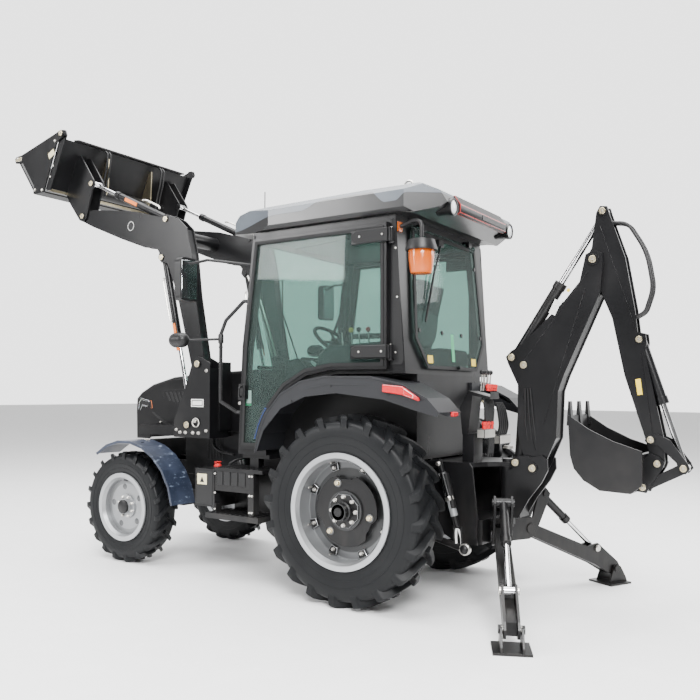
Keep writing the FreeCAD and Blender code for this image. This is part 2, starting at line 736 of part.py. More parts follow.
def loader_masts():
    px, pz = pin("arm_pivot")
    bx, bz = pin("lift_base")
    spread = size("mast_gap") / 2 + size("mast_plate") / 2
    pieces = []
    outline = [(1385, 1022), (1385, 1600, 30), (px - 40, 1640), (px + 10, 1652, 20), (px + 60, 1610),
               (1640, 1420), (1770, 1150), (1770, 1022)]
    for _, side in SIDES:
        y = side * size("arm_spacing_half")
        for way in (-1, 1):
            pieces.append(plate(XZ, outline, "mast_plate", (0, y + way * spread, 0)))
            pieces.append(hub(px, pz, y + way * (spread + 12), 12, 30))
            pieces.append(hub(bx, bz, y + way * (spread + 12), 12, 24))
        low = y - spread - 6
        pieces.append(box((1385, low, 1022), (1445, low + 2 * spread + 12, 1560)))
        pieces.append(box((1440, low, 1022), (1560, low + 2 * spread + 12, 1045)))
        pieces.append(box((1690, low, 1022), (1770, low + 2 * spread + 12, 1060)))
        inner = side * (size("arm_spacing_half") - spread)
        beam_low = min(inner, side * 350)
        beam_high = max(inner, side * 350)
        pieces.append(box((1385, beam_low, 1022), (2290, beam_high, 1100)))
        pieces.append(box((1370, min(side * 335, side * 460), 1080), (1386, max(side * 335, side * 460), 1610)))
    node("loader_masts", pieces)


def mirrors():
    pieces = []
    for _, side in SIDES:
        def at(x, y, z):
            return (x, side * y, z)
        pieces += tube_path([at(944.3, 620, 2040), at(990, 622, 2038), at(1100, 690, 1900), at(1140, 700, 1800),
                             at(1140, 700, 1310), at(1060, 612, 1232), at(1007.3, 610, 1230)], "rail_tube_radius")
        pieces += tube_path([at(909.8, 618, 2300), at(935, 620, 2300), at(1180, 800, 2330),
                             at(1310, 870, 2300)], 10)
        low = min(side * 790, side * 960)
        high = max(side * 790, side * 960)
        glass = plate(YZ, [(low, 2035, 30), (high, 2035, 30), (high, 2345, 45), (low, 2345, 45)], 60, (1320, 0, 0))
        pieces.append(glass)
        pieces.append(rod(at(1140, 700, 1765), at(1360, 830, 1755), 9))
        pieces.append(rod(at(1384, 850, 1757), at(1446, 850, 1757), 54))
        pieces.append(ball(at(1384, 850, 1757), 54))
        pieces.append(ball(at(1446, 850, 1757), 54))
    node("mirrors", pieces)


def beacon_lamp():
    pieces = tube_path([(-297.9, 610, 2440), (-340, 610, 2440), (-420, 640, 2460), (-490, 662, 2430), (-490, 662, 2315)], 12)
    cone = doc.addObject("Part::Cone", unique("cone"))
    cone.Radius1 = 98
    cone.Radius2 = 84
    cone.Height = 60
    cone.Placement.Base = V(-490, 662, 2265)
    pieces.append(cone)
    lens = doc.addObject("Part::Cone", unique("lens"))
    lens.Radius1 = 66
    lens.Radius2 = 80
    lens.Height = 145
    lens.Placement.Base = V(-490, 662, 2122)
    pieces.append(lens)
    node("beacon_lamp", pieces)


def hitch_links():
    pieces = []
    for _, side in SIDES:
        pieces.append(rod((-215, side * 190.3, 850), (-215, side * 240, 850), 40))
        pieces += tube_path([(-215, side * 228, 850), (-310, side * 300, 905), (-470, side * 350, 925)], 24)
        pieces.append(rod((-466, side * 350, 945), (-600, side * 352, 520), 17))
        pieces.append(rod((-510, side * 350, 860), (-570, side * 352, 640), 23))
        for x in (-24, 24):
            pieces.append(rod((-602 + x, side * 352, 520), (-612 + x, side * 352, 385), 8))
        pieces.append(rod((-632, side * 352, 520), (-570, side * 352, 520), 10))
        pieces.append(rod((-180, side * 190.3, 560), (-180, side * 240, 560), 30))
        pieces.append(rod((-180, side * 226, 560), (-300, side * 290, 450), 22))
        pieces.append(rod((-300, side * 290, 450), (-660, side * 360, 385), 22))
        pieces.append(ball((-300, side * 290, 450), 22))
        pieces.append(ball((-660, side * 360, 385), 34))
    node("hitch_links", pieces)


# Loader

def loader_arms():
    px, pz = pin("arm_pivot")
    tx, tz = pin("lift_top")
    cx, cz = pin("carrier")
    bx, bz = pin("tilt_base")
    plates = [(px - 55, pz - 5), (px - 20, pz - 50), (px + 30, pz - 50), (1600, 1590), (1760, 2160),
              (1870, 2400), (1905, 2415), (tx + 5, tz - 42), (tx + 42, tz), (tx + 30, tz + 40),
              (1990, 2530), (2130, 2552), (2400, 2645), (2790, 2795), (cx + 10, cz - 44), (cx + 45, cz),
              (cx + 20, cz + 42), (2760, 2935), (2250, 2860), (bx + 45, bz + 20), (bx + 10, bz + 42),
              (bx - 35, bz + 30), (1740, 2735), (1655, 2660), (1600, 2450), (1560, 2130)]
    core = [(px - 45, pz - 5), (px - 15, pz - 45), (px + 30, pz - 45), (1590, 1600), (1752, 2175),
            (1822, 2375), (1870, 2520), (1990, 2545), (2130, 2567), (2400, 2660), (2780, 2805), (cx + 10, cz - 40),
            (cx + 35, cz), (cx + 10, cz + 36), (2755, 2922), (2250, 2842), (1960, 2700), (1790, 2660),
            (1665, 2650), (1610, 2450), (1570, 2130)]
    pieces = []
    gap = size("arm_core") / 2 + size("arm_plate") / 2
    for _, side in SIDES:
        y = side * size("arm_spacing_half")
        for way in (-1, 1):
            pieces.append(plate(XZ, plates, "arm_plate", (0, y + way * gap, 0)))
            pieces.append(hub(tx, tz, y + way * (gap + 8), 10, 26))
            pieces.append(hub(bx, bz, y + way * (gap + 8), 10, 26))
        pieces.append(plate(XZ, core, "arm_core", (0, y, 0)))
        pieces.append(hub(px, pz, y, size("arm_hub_width"), 44))
        pieces.append(hub(cx, cz, y, size("arm_hub_width") - 3, 36))
    inner = size("arm_spacing_half") - 35
    pieces.append(rod((2300, -inner, 2745), (2300, inner, 2745), "cross_tube_radius"))
    node("loader_arms", pieces, False)


def loader_cylinders():
    barrels = []
    rods = []
    for _, side in SIDES:
        y = side * size("arm_spacing_half")
        barrels += barrel(pin("lift_top"), pin("lift_base"), y, "lift", size("arm_core") - 0.8)
        rods += piston_rod(pin("lift_top"), pin("lift_base"), y, "lift", size("mast_gap") - 0.8)
    node("lift_cylinder_barrels", barrels)
    node("lift_cylinder_rods", rods)
    barrels = []
    rods = []
    for _, side in SIDES:
        y = side * size("arm_spacing_half")
        barrels += barrel(pin("tilt_base"), pin("tilt_front"), y, "tilt", size("arm_core") - 0.8)
        rods += piston_rod(pin("tilt_base"), pin("tilt_front"), y, "tilt", size("arm_hub_width") - 3)
    node("tilt_cylinder_barrels", barrels)
    node("tilt_cylinder_rods", rods)


def loader_bucket_back():
    cx, cz = pin("carrier")
    tx, tz = pin("tilt_front")
    hx, hz = pin("clam_pin")
    pieces = []
    back = [(2938, 3530), (3132, 3112), (3121, 3107), (2927, 3525)]
    pieces.append(plate(XZ, back, "bucket_width"))
    lip = [(2938, 3530), (2927, 3525), (2870, 3520), (2868, 3532), (2934, 3542)]
    pieces.append(plate(XZ, lip, size("bucket_width") - 260))
    side_plate = [(cx - 46, cz - 18), (cx - 8, cz - 48), (cx + 42, cz - 30), (3080, 3030), (3126, 3110),
                  (2980, 3424), (2930, 3425), (tx - 22, tz + 32), (tx - 38, tz - 8), (tx - 10, tz - 40)]
    spread = (size("arm_hub_width") - 2) / 2 + size("carrier_plate") / 2
    for _, side in SIDES:
        y = side * size("arm_spacing_half")
        for way in (-1, 1):
            pieces.append(plate(XZ, side_plate, "carrier_plate", (0, y + way * spread, 0)))
            pieces.append(hub(cx, cz, y + way * (spread + 10), 10, 28))
            pieces.append(hub(tx, tz, y + way * (spread + 10), 10, 24))
        edge = side * (size("bucket_width") / 2 - 6)
        ear = [(hx - 38, hz - 12), (hx - 20, hz + 32), (hx + 25, hz + 32), (2960, 3535), (3145, 3125),
               (3121, 3107), (3085, 3110), (2890, 3500)]
        pieces.append(plate(XZ, ear, "bucket_plate", (0, edge, 0)))
    inner = size("arm_spacing_half") - spread
    pieces.append(rod((3020, -inner, 3165), (3020, inner, 3165), 52))
    node("loader_bucket_back", pieces)


def loader_bucket_clam():
    hx, hz = pin("clam_pin")
    half = size("bucket_width") / 2
    pieces = []
    profile = [(hx - 36, hz - 18), (hx - 30, hz + 28), (hx + 20, hz + 36), (3010, 3566), (3470, 3462),
               (3552, 3458), (3572, 3440), (3560, 3402), (3500, 3392), (3460, 3396), (3292, 3165),
               (3304, 3104), (3290, 3094), (3160, 3094), (3146, 3122), (2975, 3495), (hx + 18, hz - 34)]
    for _, side in SIDES:
        y = side * (half + 5.5 + size("bucket_plate") / 2)
        pieces.append(plate(XZ, profile, "bucket_plate", (0, y, 0)))
        pieces.append(hub(hx, hz, side * (half + 0.3 + 3), 6.2, 26))
        pieces.append(hub(hx, hz, side * (half + 24), 14, 26))
    floor = [(3160, 3094), (3160, 3106), (3284, 3108), (3528, 3432), (3560, 3446), (3566, 3434), (3540, 3424),
             (3292, 3094)]
    pieces.append(plate(XZ, floor, 2 * (half + 6)))
    node("loader_bucket_clam", pieces)


# Backhoe

def backhoe_frame():
    kx = size("kingpost_x")
    pieces = []
    half = [(-342, 270), (-640, 262), (-700, 112), (kx + 38, 50), (kx - 25, 43), (kx - 46, 18)]
    base = half + [(x, -y) for x, y in half[::-1]]
    pieces.append(plate(XY, base, 30, (0, 0, 915)))
    pieces.append(plate(XY, base, 34, (0, 0, 535)))
    pieces.append(rod((kx, 0, 930), (kx, 0, 952), 40))
    pieces.append(rod((kx, 0, 500), (kx, 0, 520), 40))
    pieces.append(box((-720, -230, 400), (-640, 230, 560)))
    for _, side in SIDES:
        low = min(side * 250, side * 268)
        high = max(side * 250, side * 268)
        wall = [(-340, 520), (-340, 930), (-640, 930), (-660, 900), (-700, 560), (-700, 400), (-560, 400)]
        pieces.append(plate(XZ, wall, 18, (0, (low + high) / 2, 0)))
        pieces.append(box((-360, low, 900), (-339, high, 943.7)))
    pieces.append(box((-360, -268, 560), (-340, 268, 900)))
    pieces.append(box((-640, 60, 930), (-560, 200, 1120)))
    pieces.append(plate(XZ, [(-560, 1110), (-540, 1290), (-600, 1400), (-752, 1362), (-752, 1347), (-630, 1370),
                             (-600, 1110)], 150, (0, 130, 0)))
    for _, side in SIDES:
        pieces += leg_ears(side)
    node("backhoe_frame", pieces)


def leg_frame(side):
    """Placement that turns the XZ plane so that its X runs outward along a stabilizer."""
    angle = 90 + size("leg_splay_deg")
    turn = FreeCAD.Rotation(V(0, 0, 1), side * angle)
    base = V(size("leg_pivot_x"), side * size("leg_pivot_y"), 0)
    return FreeCAD.Placement(base, turn)


def leg_plate(side, points, length, offset, holes=()):
    body = plate(XZ, points, length, (0, 0, 0), holes)
    body.Placement = leg_frame(side).multiply(FreeCAD.Placement(V(0, offset, 0), FreeCAD.Rotation()))
    return body


def leg_move(side, piece):
    piece.Placement = leg_frame(side).multiply(piece.Placement)
    return piece


LEG_TOP = (134.0, 700.0)
LEG_ARM = (649.0, 275.0)
LEG_PAD = (833.0, 112.0)


def leg_ears(side):
    pz = size("leg_pivot_z")
    outline = [(-200, 400), (-200, 546), (20, 546), (80, 735), (LEG_TOP[0], LEG_TOP[1] + 42),
               (LEG_TOP[0] + 42, LEG_TOP[1]), (LEG_TOP[0] + 30, LEG_TOP[1] - 42), (62, pz - 10), (40, pz - 50),
               (-10, 400)]
    spread = size("leg_width") / 2 + 0.6 + 7
    pieces = []
    for way in (-1, 1):
        pieces.append(leg_plate(side, outline, 14, way * spread))
        pieces.append(leg_move(side, hub(0, pz, way * (spread + 11), 10, 34)))
        pieces.append(leg_move(side, hub(LEG_TOP[0], LEG_TOP[1], way * (spread + 11), 10, 24)))
    return pieces


def stabilizers():
    pz = size("leg_pivot_z")
    plates = [(-48, pz - 20), (-48, pz + 25), (-20, pz + 50), (560, pz - 175), (LEG_ARM[0] - 40, LEG_ARM[1] + 30),
              (LEG_ARM[0] + 10, LEG_ARM[1] + 36), (LEG_ARM[0] + 50, LEG_ARM[1] + 5), (860, 160), (885, 120),
              (870, 70), (830, 60), (760, 90), (640, 155), (30, pz - 58), (-20, pz - 55)]
    core = [(-44, pz - 20), (-44, pz + 22), (-18, pz + 44), (500, pz - 162), (590, pz - 250), (700, 190),
            (835, 150), (845, 80), (760, 96), (640, 161), (30, pz - 52), (-18, pz - 50)]
    gap = size("leg_core") / 2 + size("leg_plate") / 2
    for name, side in SIDES:
        pieces = [leg_plate(side, core, "leg_core", 0)]
        for way in (-1, 1):
            pieces.append(leg_plate(side, plates, "leg_plate", way * gap))
            pieces.append(leg_move(side, hub(LEG_ARM[0], LEG_ARM[1], way * (gap + 10), 10, 22)))
            rib = leg_plate(side, [(760, 10), (810, 130), (870, 130), (930, 40), (940, 10)], 12, way * 58)
            pieces.append(rib)
            pieces.append(leg_move(side, hub(LEG_PAD[0], LEG_PAD[1], way * 55, 34, 24)))
        half = size("pad_length") / 2
        thick = size("pad_thickness")
        foot = leg_move(side, box((LEG_PAD[0] - half, -half, 0), (LEG_PAD[0] + half, half, thick)))
        pieces.append(foot)
        node("%s_stabilizer" % name, pieces)
        tube = [leg_move(side, p) for p in barrel(LEG_TOP, LEG_ARM, 0, "leg", size("leg_width") + 0.4)]
        bar = [leg_move(side, p) for p in piston_rod(LEG_TOP, LEG_ARM, 0, "leg", size("leg_core") - 0.8)]
        node("%s_stabilizer_barrel" % name, tube)
        node("%s_stabilizer_rod" % name, bar)


def swing_post():
    kx = size("kingpost_x")
    fx, fz = pin("hoe_foot")
    bx, bz = pin("boom_lift_base")
    ear = [(kx - 20, 575), (kx - 20, 880), (-868, 893), (bx + 22, bz + 30), (bx - 15, bz + 42), (-960, 985),
           (fx + 10, fz + 70), (fx - 60, fz + 85), (fx - 95, fz + 60), (fx - 100, fz - 10), (fx - 60, fz - 90),
           (-975, 700), (-905, 575)]
    spread = size("post_gap") / 2 + 8
    pieces = [rod((kx, 0, 552.4), (kx, 0, 899.6), "kingpost_radius")]
    for way in (-1, 1):
        pieces.append(plate(XZ, ear, 16, (0, way * spread, 0)))
        pieces.append(hub(fx, fz, way * (spread + 13), 12, 34))
        pieces.append(hub(bx, bz, way * (spread + 12), 10, 26))
    pieces.append(plate(XZ, [(kx - 20, 575), (kx - 20, 870), (-862, 870), (-905, 800), (-915, 575)], 160))
    node("swing_post", pieces)


def boom():
    fx, fz = pin("hoe_foot")
    bx, bz = pin("dipper_base")
    dx, dz = pin("dipper_pivot")
    tx, tz = pin("boom_lift_top")
    plates = [(fx + 50, fz + 10), (fx + 12, fz - 52), (fx - 35, fz - 48), (fx - 68, fz + 10), (-1145, 1100),
              (-1155, 1400), (-1190, 1500), (-1412, 2010), (dx - 60, dz - 30), (dx - 55, dz + 35),
              (dx - 5, dz + 58), (dx + 45, dz + 35), (-1285, 2085), (-1190, 1970), (-1050, 1835), (-905, 1700),
              (bx + 5, bz + 42), (bx + 42, bz + 5), (bx + 25, bz - 42), (-888, 1440), (-890, 1120)]
    core = [(fx - 62, fz + 60), (fx - 30, fz + 110), (-1015, 1300), (-1010, 1480), (-1000, 1620), (-935, 1665),
            (-1060, 1820), (-1195, 1950), (-1285, 2060), (-1400, 2000), (-1182, 1500), (-1147, 1400),
            (-1137, 1100)]
    gap = size("boom_width") / 2 - size("hoe_plate") / 2
    pieces = []
    for way in (-1, 1):
        pieces.append(plate(XZ, plates, "hoe_plate", (0, way * gap, 0)))
        for x, z, r in ((bx, bz, 28), (dx, dz, 34)):
            pieces.append(hub(x, z, way * (gap + 10), 10, r))
        pieces.append(hub(fx, fz, way * 60.5, 19, 48))
    pieces.append(plate(XZ, core, "boom_core"))
    node("boom", pieces)


def dipper():
    dx, dz = pin("dipper_pivot")
    tx, tz = pin("dipper_top")
    bx, bz = pin("curl_base")
    hx, hz = pin("hoe_bucket")
    gx, gz = pin("guide")
    plates = [(tx - 38, tz - 15), (tx - 25, tz + 28), (tx + 18, tz + 34), (tx + 40, tz - 5), (dx + 15, dz + 75),
              (dx + 52, dz + 10), (dx + 45, dz - 35), (-1405, 2030), (-1482, 1850), (-1560, 1500),
              (gx + 30, gz - 5), (hx + 38, hz + 5), (hx + 15, hz - 38), (hx - 25, hz - 32), (hx - 38, hz + 10),
              (-1788, 1120), (-1672, 1640), (bx - 42, bz - 20), (bx - 35, bz + 34), (bx + 10, bz + 45),
              (-1612, 1900), (-1552, 2215)]
    core = [(-1452, 2400), (-1398, 2400), (dx + 15, dz + 70), (dx + 46, dz + 10), (dx + 40, dz - 30),
            (-1400, 2030), (-1476, 1850), (-1553, 1500), (gx + 36, gz + 5), (hx + 33, hz + 5), (hx + 12, hz - 33),
            (hx - 20, hz - 28), (hx - 32, hz + 10), (-1762, 1150), (-1622, 1655), (-1582, 1765),
            (-1592, 1900), (-1536, 2215)]
    gap = size("dipper_core") / 2 + size("hoe_plate") / 2
    pieces = [plate(XZ, core, "dipper_core")]
    for way in (-1, 1):
        pieces.append(plate(XZ, plates, "hoe_plate", (0, way * gap, 0)))
        pieces.append(hub(tx, tz, way * (gap + 11), 10, 28))
        pieces.append(hub(bx, bz, way * (gap + 11), 10, 24))
    pieces.append(hub(dx, dz, 0, size("boom_core") - 1, 40))
    node("dipper", pieces)


def bucket_links():
    g = pin("guide")
    a = pin("apex")
    p = pin("push")
    out = size("dipper_width") / 2 + 0.6 + size("link_plate") / 2
    inside = size("dipper_width") / 2 - size("link_plate") / 2
    guide = [(g[0] + 20, g[1] + 26), (g[0] + 34, g[1] - 6), (g[0] + 10, g[1] - 32), (g[0] - 40, g[1] - 30),
             (a[0] + 40, a[1] + 30), (a[0] + 26, a[1] - 22), (a[0] - 10, a[1] - 34), (a[0] - 34, a[1] - 4),
             (a[0] - 20, a[1] + 30), (g[0] - 110, g[1] + 0), (g[0] - 40, g[1] + 34)]
    pieces = []
    for way in (-1, 1):
        pieces.append(plate(XZ, guide, "link_plate", (0, way * out, 0)))
        pieces.append(hub(g[0], g[1], way * (out + 10), 10, 24))
        pieces.append(hub(a[0], a[1], way * (out + 10), 10, 24))
    node("guide_link", pieces)
    pieces = []
    for way in (-1, 1):
        link = plate(XZ, eye_link(a, p, 30, 28), "link_plate", (0, way * inside, 0))
        pieces.append(link)
    pieces.append(hub(p[0], p[1], 0, size("dipper_width"), 28))
    node("push_link", pieces)


def hoe_bucket():
    h = pin("hoe_bucket")
    p = pin("push")
    half = size("hoe_bucket_width") / 2
    outer = [(-1262, 1256), (-1278, 1010), (-1302, 930), (-1360, 862), (-1460, 806), (-1640, 800), (-1700, 850),
             (-1705, 930), (-1700, 1052), (-1535, 1104), (-1390, 1172)]
    shell = [(-1262, 1256), (-1278, 1010), (-1302, 930), (-1360, 862), (-1460, 806), (-1625, 800), (-1608, 812),
             (-1464, 818), (-1367, 872), (-1312, 936), (-1290, 1012), (-1276, 1250)]
    top = [(-1640, 800), (-1608, 800), (-1636, 960), (-1676, 1036), (-1690, 1030), (-1660, 950)]
    pieces = [plate(XZ, shell, "hoe_bucket_width"), plate(XZ, top, "hoe_bucket_width")]
    for way in (-1, 1):
        pieces.append(plate(XZ, outer, "hoe_bucket_side", (0, way * (half - 6), 0)))
        ear = [(h[0] - 10, h[1] + 40), (h[0] - 40, h[1] + 5), (h[0] - 28, h[1] - 30), (p[0] - 34, p[1] - 5),
               (p[0] - 20, p[1] - 34), (-1610, 806), (-1630, 960), (h[0] + 40, h[1] + 60)]
        y = way * (size("dipper_width") / 2 + 0.6 + 8)
        pieces.append(plate(XZ, ear, 16, (0, y, 0)))
        pieces.append(hub(h[0], h[1], y + way * 12, 10, 26))
        pieces.append(hub(p[0], p[1], y + way * 12, 10, 26))
    for y in (-175, 0, 175):
        pieces.append(plate(XZ, [(-1255, 1190), (-1262, 1340), (-1272, 1340), (-1288, 1190)], 44, (0, y, 0)))
    node("hoe_bucket", pieces)


def hoe_cylinders():
    sets = [("boom", "boom_lift_base", "boom_lift_top", size("post_gap") - 1, size("boom_core") - 1),
            ("dipper", "dipper_base", "dipper_top", size("boom_core") - 1, size("dipper_core") - 1),
            ("curl", "curl_base", "apex", size("dipper_core") - 1, size("dipper_core") - 1.2)]
    for name, base, top, base_width, top_width in sets:
        node("%s_cylinder_barrel" % name, barrel(pin(base), pin(top), 0, name, base_width))
        node("%s_cylinder_rod" % name, piston_rod(pin(base), pin(top), 0, name, top_width))


for build in (chassis_frame, engine_block, axle_housings, rear_wheels, front_wheels, knuckles, front_fenders,
              hood, cab_frame, cab_roof, windscreen, doors, rear_window, rear_fenders, lamps, operator_seat,
              dashboard, side_steps, loader_masts, mirrors, beacon_lamp, hitch_links, loader_arms,
              loader_cylinders, loader_bucket_back, loader_bucket_clam, backhoe_frame, swing_post, boom, dipper,
              bucket_links, hoe_bucket, hoe_cylinders, stabilizers):
    build()

doc.recompute()
bad = []
for thing in doc.Objects:
    if "Invalid" in thing.State or "Error" in thing.State:
        bad.append("%s %s" % (thing.Label, thing.State))
for thing in NODES:
    if thing.Shape.isNull() or not thing.Shape.isValid():
        bad.append("%s has no valid shape" % thing.Label)
if bad:
    raise RuntimeError("; ".join(bad))

os.makedirs("parts", exist_ok=True)
for thing in NODES:
    thing.Shape.exportStep("parts/%s.step" % thing.Label)
print(len(NODES), "sub-parts written")
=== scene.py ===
import json
import math

import bmesh
import bpy
from bpy.props import FloatProperty, FloatVectorProperty, IntProperty, PointerProperty
from mathutils import Matrix, Vector


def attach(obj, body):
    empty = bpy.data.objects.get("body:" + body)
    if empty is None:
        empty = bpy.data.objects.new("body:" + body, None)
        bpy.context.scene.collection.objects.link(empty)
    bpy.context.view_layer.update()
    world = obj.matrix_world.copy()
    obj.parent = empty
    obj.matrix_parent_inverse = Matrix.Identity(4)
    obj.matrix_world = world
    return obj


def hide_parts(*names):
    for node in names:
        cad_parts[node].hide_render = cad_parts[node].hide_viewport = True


bl_info = {
    "name": "Backhoe Loader Finish",
    "version": (1, 0, 0),
    "blender": (4, 5, 0),
    "location": "View3D > Sidebar > Loader",
    "description": "Tyres, trim, glass seals, pins, pipes and paint for a compact backhoe loader",
    "category": "Object",
}

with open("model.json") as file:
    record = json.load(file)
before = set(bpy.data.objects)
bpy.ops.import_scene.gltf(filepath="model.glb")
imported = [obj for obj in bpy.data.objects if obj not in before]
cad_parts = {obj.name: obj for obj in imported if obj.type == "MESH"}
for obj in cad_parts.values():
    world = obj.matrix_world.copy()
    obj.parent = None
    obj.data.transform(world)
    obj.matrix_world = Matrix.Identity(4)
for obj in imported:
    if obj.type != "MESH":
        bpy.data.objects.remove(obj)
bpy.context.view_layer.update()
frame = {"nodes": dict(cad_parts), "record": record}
RECORD = frame["record"]
BODIES = {n: b for b, nodes in RECORD["behaviour"]["bodies"].items() for n in nodes}
REAR_AXLE = [j for j in RECORD["behaviour"]["joints"] if j["name"] == "rear_left_wheel"][0]["pos_m"][0]
SIDES = (("left", 1), ("right", -1))
ROOT = "tractor"


def at(x, y, z):
    """A point given in millimetres from the rear axle, in the row frame."""
    return Vector((REAR_AXLE + x / 1000, y / 1000, z / 1000))


def span(side, low, high):
    """The lower and upper y of a band that reaches from low to high on one side."""
    return tuple(sorted((side * low, side * high)))


# Settings a user may change

class LoaderSizes(bpy.types.PropertyGroup):
    rear_lug: FloatProperty(name="Rear lug height", description="Height of the rear tyre bars", default=0.040,
            unit="LENGTH")
    front_lug: FloatProperty(name="Front lug height", description="Height of the front tyre bars", default=0.027,
            unit="LENGTH")
    rear_bars: IntProperty(name="Rear bars", description="Bars on each half of a rear tyre", default=20)
    front_bars: IntProperty(name="Front bars", description="Bars on each half of a front tyre", default=19)


class LoaderColours(bpy.types.PropertyGroup):
    body: FloatVectorProperty(name="Body paint", description="Satin black paint", subtype="COLOR", size=3,
            default=(0.0048, 0.0048, 0.0054))
    roof: FloatVectorProperty(name="Roof shell", description="Slate grey roof shell", subtype="COLOR", size=3,
            default=(0.075, 0.088, 0.105))
    rim: FloatVectorProperty(name="Rims", description="Silver rim paint", subtype="COLOR", size=3,
            default=(0.40, 0.41, 0.42))
    glass: FloatVectorProperty(name="Glass tint", description="Green tint of the panes", subtype="COLOR", size=3,
            default=(0.60, 0.735, 0.70))
    dust: FloatProperty(name="Dust", description="How much dust lies on the paint", default=0.16, min=0, max=1,
            subtype="FACTOR")


# Materials: a socket with arithmetic, and one method for any node

class Wire:
    def __init__(self, graph, socket):
        self.graph = graph
        self.socket = socket

    def _math(self, operation, a, b):
        return self.graph.add("ShaderNodeMath", {"operation": operation}, {0: a, 1: b})

    def __add__(self, other):
        return self._math("ADD", self, other)

    __radd__ = __add__

    def __sub__(self, other):
        return self._math("SUBTRACT", self, other)

    def __rsub__(self, other):
        return self._math("SUBTRACT", other, self)

    def __mul__(self, other):
        return self._math("MULTIPLY", self, other)

    __rmul__ = __mul__

    def __truediv__(self, other):
        return self._math("DIVIDE", self, other)

    def __pow__(self, other):
        return self._math("POWER", self, other)


class Finish:
    """A material under construction."""

    def __init__(self, name):
        self.material = bpy.data.materials.new(name)
        self.material.use_nodes = True
        self.tree = self.material.node_tree
        self.tree.nodes.clear()
        self.place = self.add("ShaderNodeTexCoord", out="Object")

    def add(self, kind, settings=None, values=None, out=0):
        node = self.tree.nodes.new(kind)
        for key, value in (settings or {}).items():
            if key == "stops":
                while len(node.color_ramp.elements) < len(value):
                    node.color_ramp.elements.new(0.5)
                for stop, (where, colour) in zip(node.color_ramp.elements, value):
                    stop.position = where
                    stop.color = (*colour, 1) if hasattr(colour, "__len__") else (colour, colour, colour, 1)
            else:
                setattr(node, key, value)
        for key, value in (values or {}).items():
            if isinstance(value, Wire):
                self.tree.links.new(value.socket, node.inputs[key])
            elif hasattr(value, "__len__") and len(value) == 3 and len(node.inputs[key].default_value) == 4:
                node.inputs[key].default_value = (*value, 1)
            else:
                node.inputs[key].default_value = value
        return Wire(self, node.outputs[out])

    def noise(self, scale, detail=3.0, rough=0.55, stretch=None):
        where = self.place
        if stretch:
            where = self.add("ShaderNodeMapping", {}, {"Vector": where, "Scale": stretch})
        return self.add("ShaderNodeTexNoise", {}, {"Vector": where, "Scale": scale, "Detail": detail,
                "Roughness": rough})

    def band(self, value, low, high, first=0.0, last=1.0):
        """Smooth step of a value between two limits."""
        return self.add("ShaderNodeMapRange", {"interpolation_type": "SMOOTHSTEP"},
                        {"Value": value, "From Min": low, "From Max": high, "To Min": first, "To Max": last})

    def mix(self, share, a, b):
        return self.add("ShaderNodeMix", {"data_type": "RGBA"}, {0: share, 6: a, 7: b}, out=2)

    def axis(self, name):
        return self.add("ShaderNodeSeparateXYZ", {}, {0: self.place}, out=name)

    def shade(self, colour, rough, metal=0.0, bump=None, bump_size=0.0005, bump_strength=0.3, soft_edge=0.0, **more):
        values = {"Base Color": colour, "Roughness": rough, "Metallic": metal}
        values.update(more)
        if bump is not None:
            links = {"Height": bump, "Distance": bump_size, "Strength": bump_strength}
            if soft_edge:
                links["Normal"] = self.add("ShaderNodeBevel", {"samples": 4}, {"Radius": soft_edge})
            values["Normal"] = self.add("ShaderNodeBump", {}, links)
        shader = self.add("ShaderNodeBsdfPrincipled", {}, values)
        self._output(shader)
        return self.material

    def _output(self, shader):
        output = self.tree.nodes.new("ShaderNodeOutputMaterial")
        self.tree.links.new(shader.socket, output.inputs["Surface"])


M = {}


def paint(name, colour, rough=0.32, dust=0.3, grain=900.0, chips=0.0, shine=0.28, metallic=0.0):
    g = Finish(name)
    cloud = g.noise(2.3, 4)
    fine = g.noise(grain, 2)
    streak = g.noise(9, 5, 0.65, (1, 1, 0.25))
    height = g.axis("Z")
    low = g.band(height, 1.0, 0.05) * g.band(streak, 0.35, 0.75)
    film = (low * 0.8 + g.band(cloud, 0.45, 0.8) * 0.35) * dust
    base = g.mix(g.band(cloud, 0.3, 0.7), tuple(c * 0.85 for c in colour),
            tuple(min(1, c * 1.25 + 0.001) for c in colour))
    base = g.mix(film, base, (0.17, 0.155, 0.135))
    roughness = streak * 0.14 + film * 0.4 + (rough - 0.07)
    if chips:
        spot = g.band(g.noise(26, 6, 0.7), 0.66 - 0.1 * chips, 0.70 - 0.1 * chips)
        base = g.mix(spot * 0.8, base, (0.30, 0.29, 0.28))
        metal = spot * 0.8
    else:
        metal = metallic
    M[name] = g.shade(base, roughness, metal, fine * 0.4 + streak * 0.6, 0.0006, 0.22, 0.0025,
            **{"Specular IOR Level": shine})


def rubber(name):
    g = Finish(name)
    cloud = g.noise(5, 5, 0.6)
    fine = g.noise(260, 3)
    dusty = g.band(cloud, 0.42, 0.78)
    base = g.mix(dusty * 0.3, (0.0055, 0.006, 0.0068), (0.016, 0.0165, 0.017))
    M[name] = g.shade(base, dusty * 0.15 + 0.44, 0.0, fine * 0.7 + cloud * 0.3, 0.0008, 0.35,
            **{"Specular IOR Level": 0.2})


def rim_paint_and_shade(name, axle, rings, rough=0.3):
    """Rim paint and painted shade in rings about the axle: (radius, colour) from the hub outwards; the darker rings
    are painted shade inside the rim barrel.
    """
    g = Finish(name)
    x = g.axis("X") - (REAR_AXLE + axle[0])
    z = g.axis("Z") - axle[1]
    radius = g.add("ShaderNodeMath", {"operation": "SQRT"}, {0: x * x + z * z})
    cloud = g.noise(6, 4)
    base = rings[0][1]
    for edge, colour in rings[1:]:
        base = g.mix(g.band(radius, edge - 0.004, edge + 0.004), base, colour)
    base = g.mix(g.band(cloud, 0.45, 0.8) * 0.12, base, (0.10, 0.09, 0.08))
    M[name] = g.shade(base, cloud * 0.12 + rough, 0.55, cloud, 0.0005, 0.15)


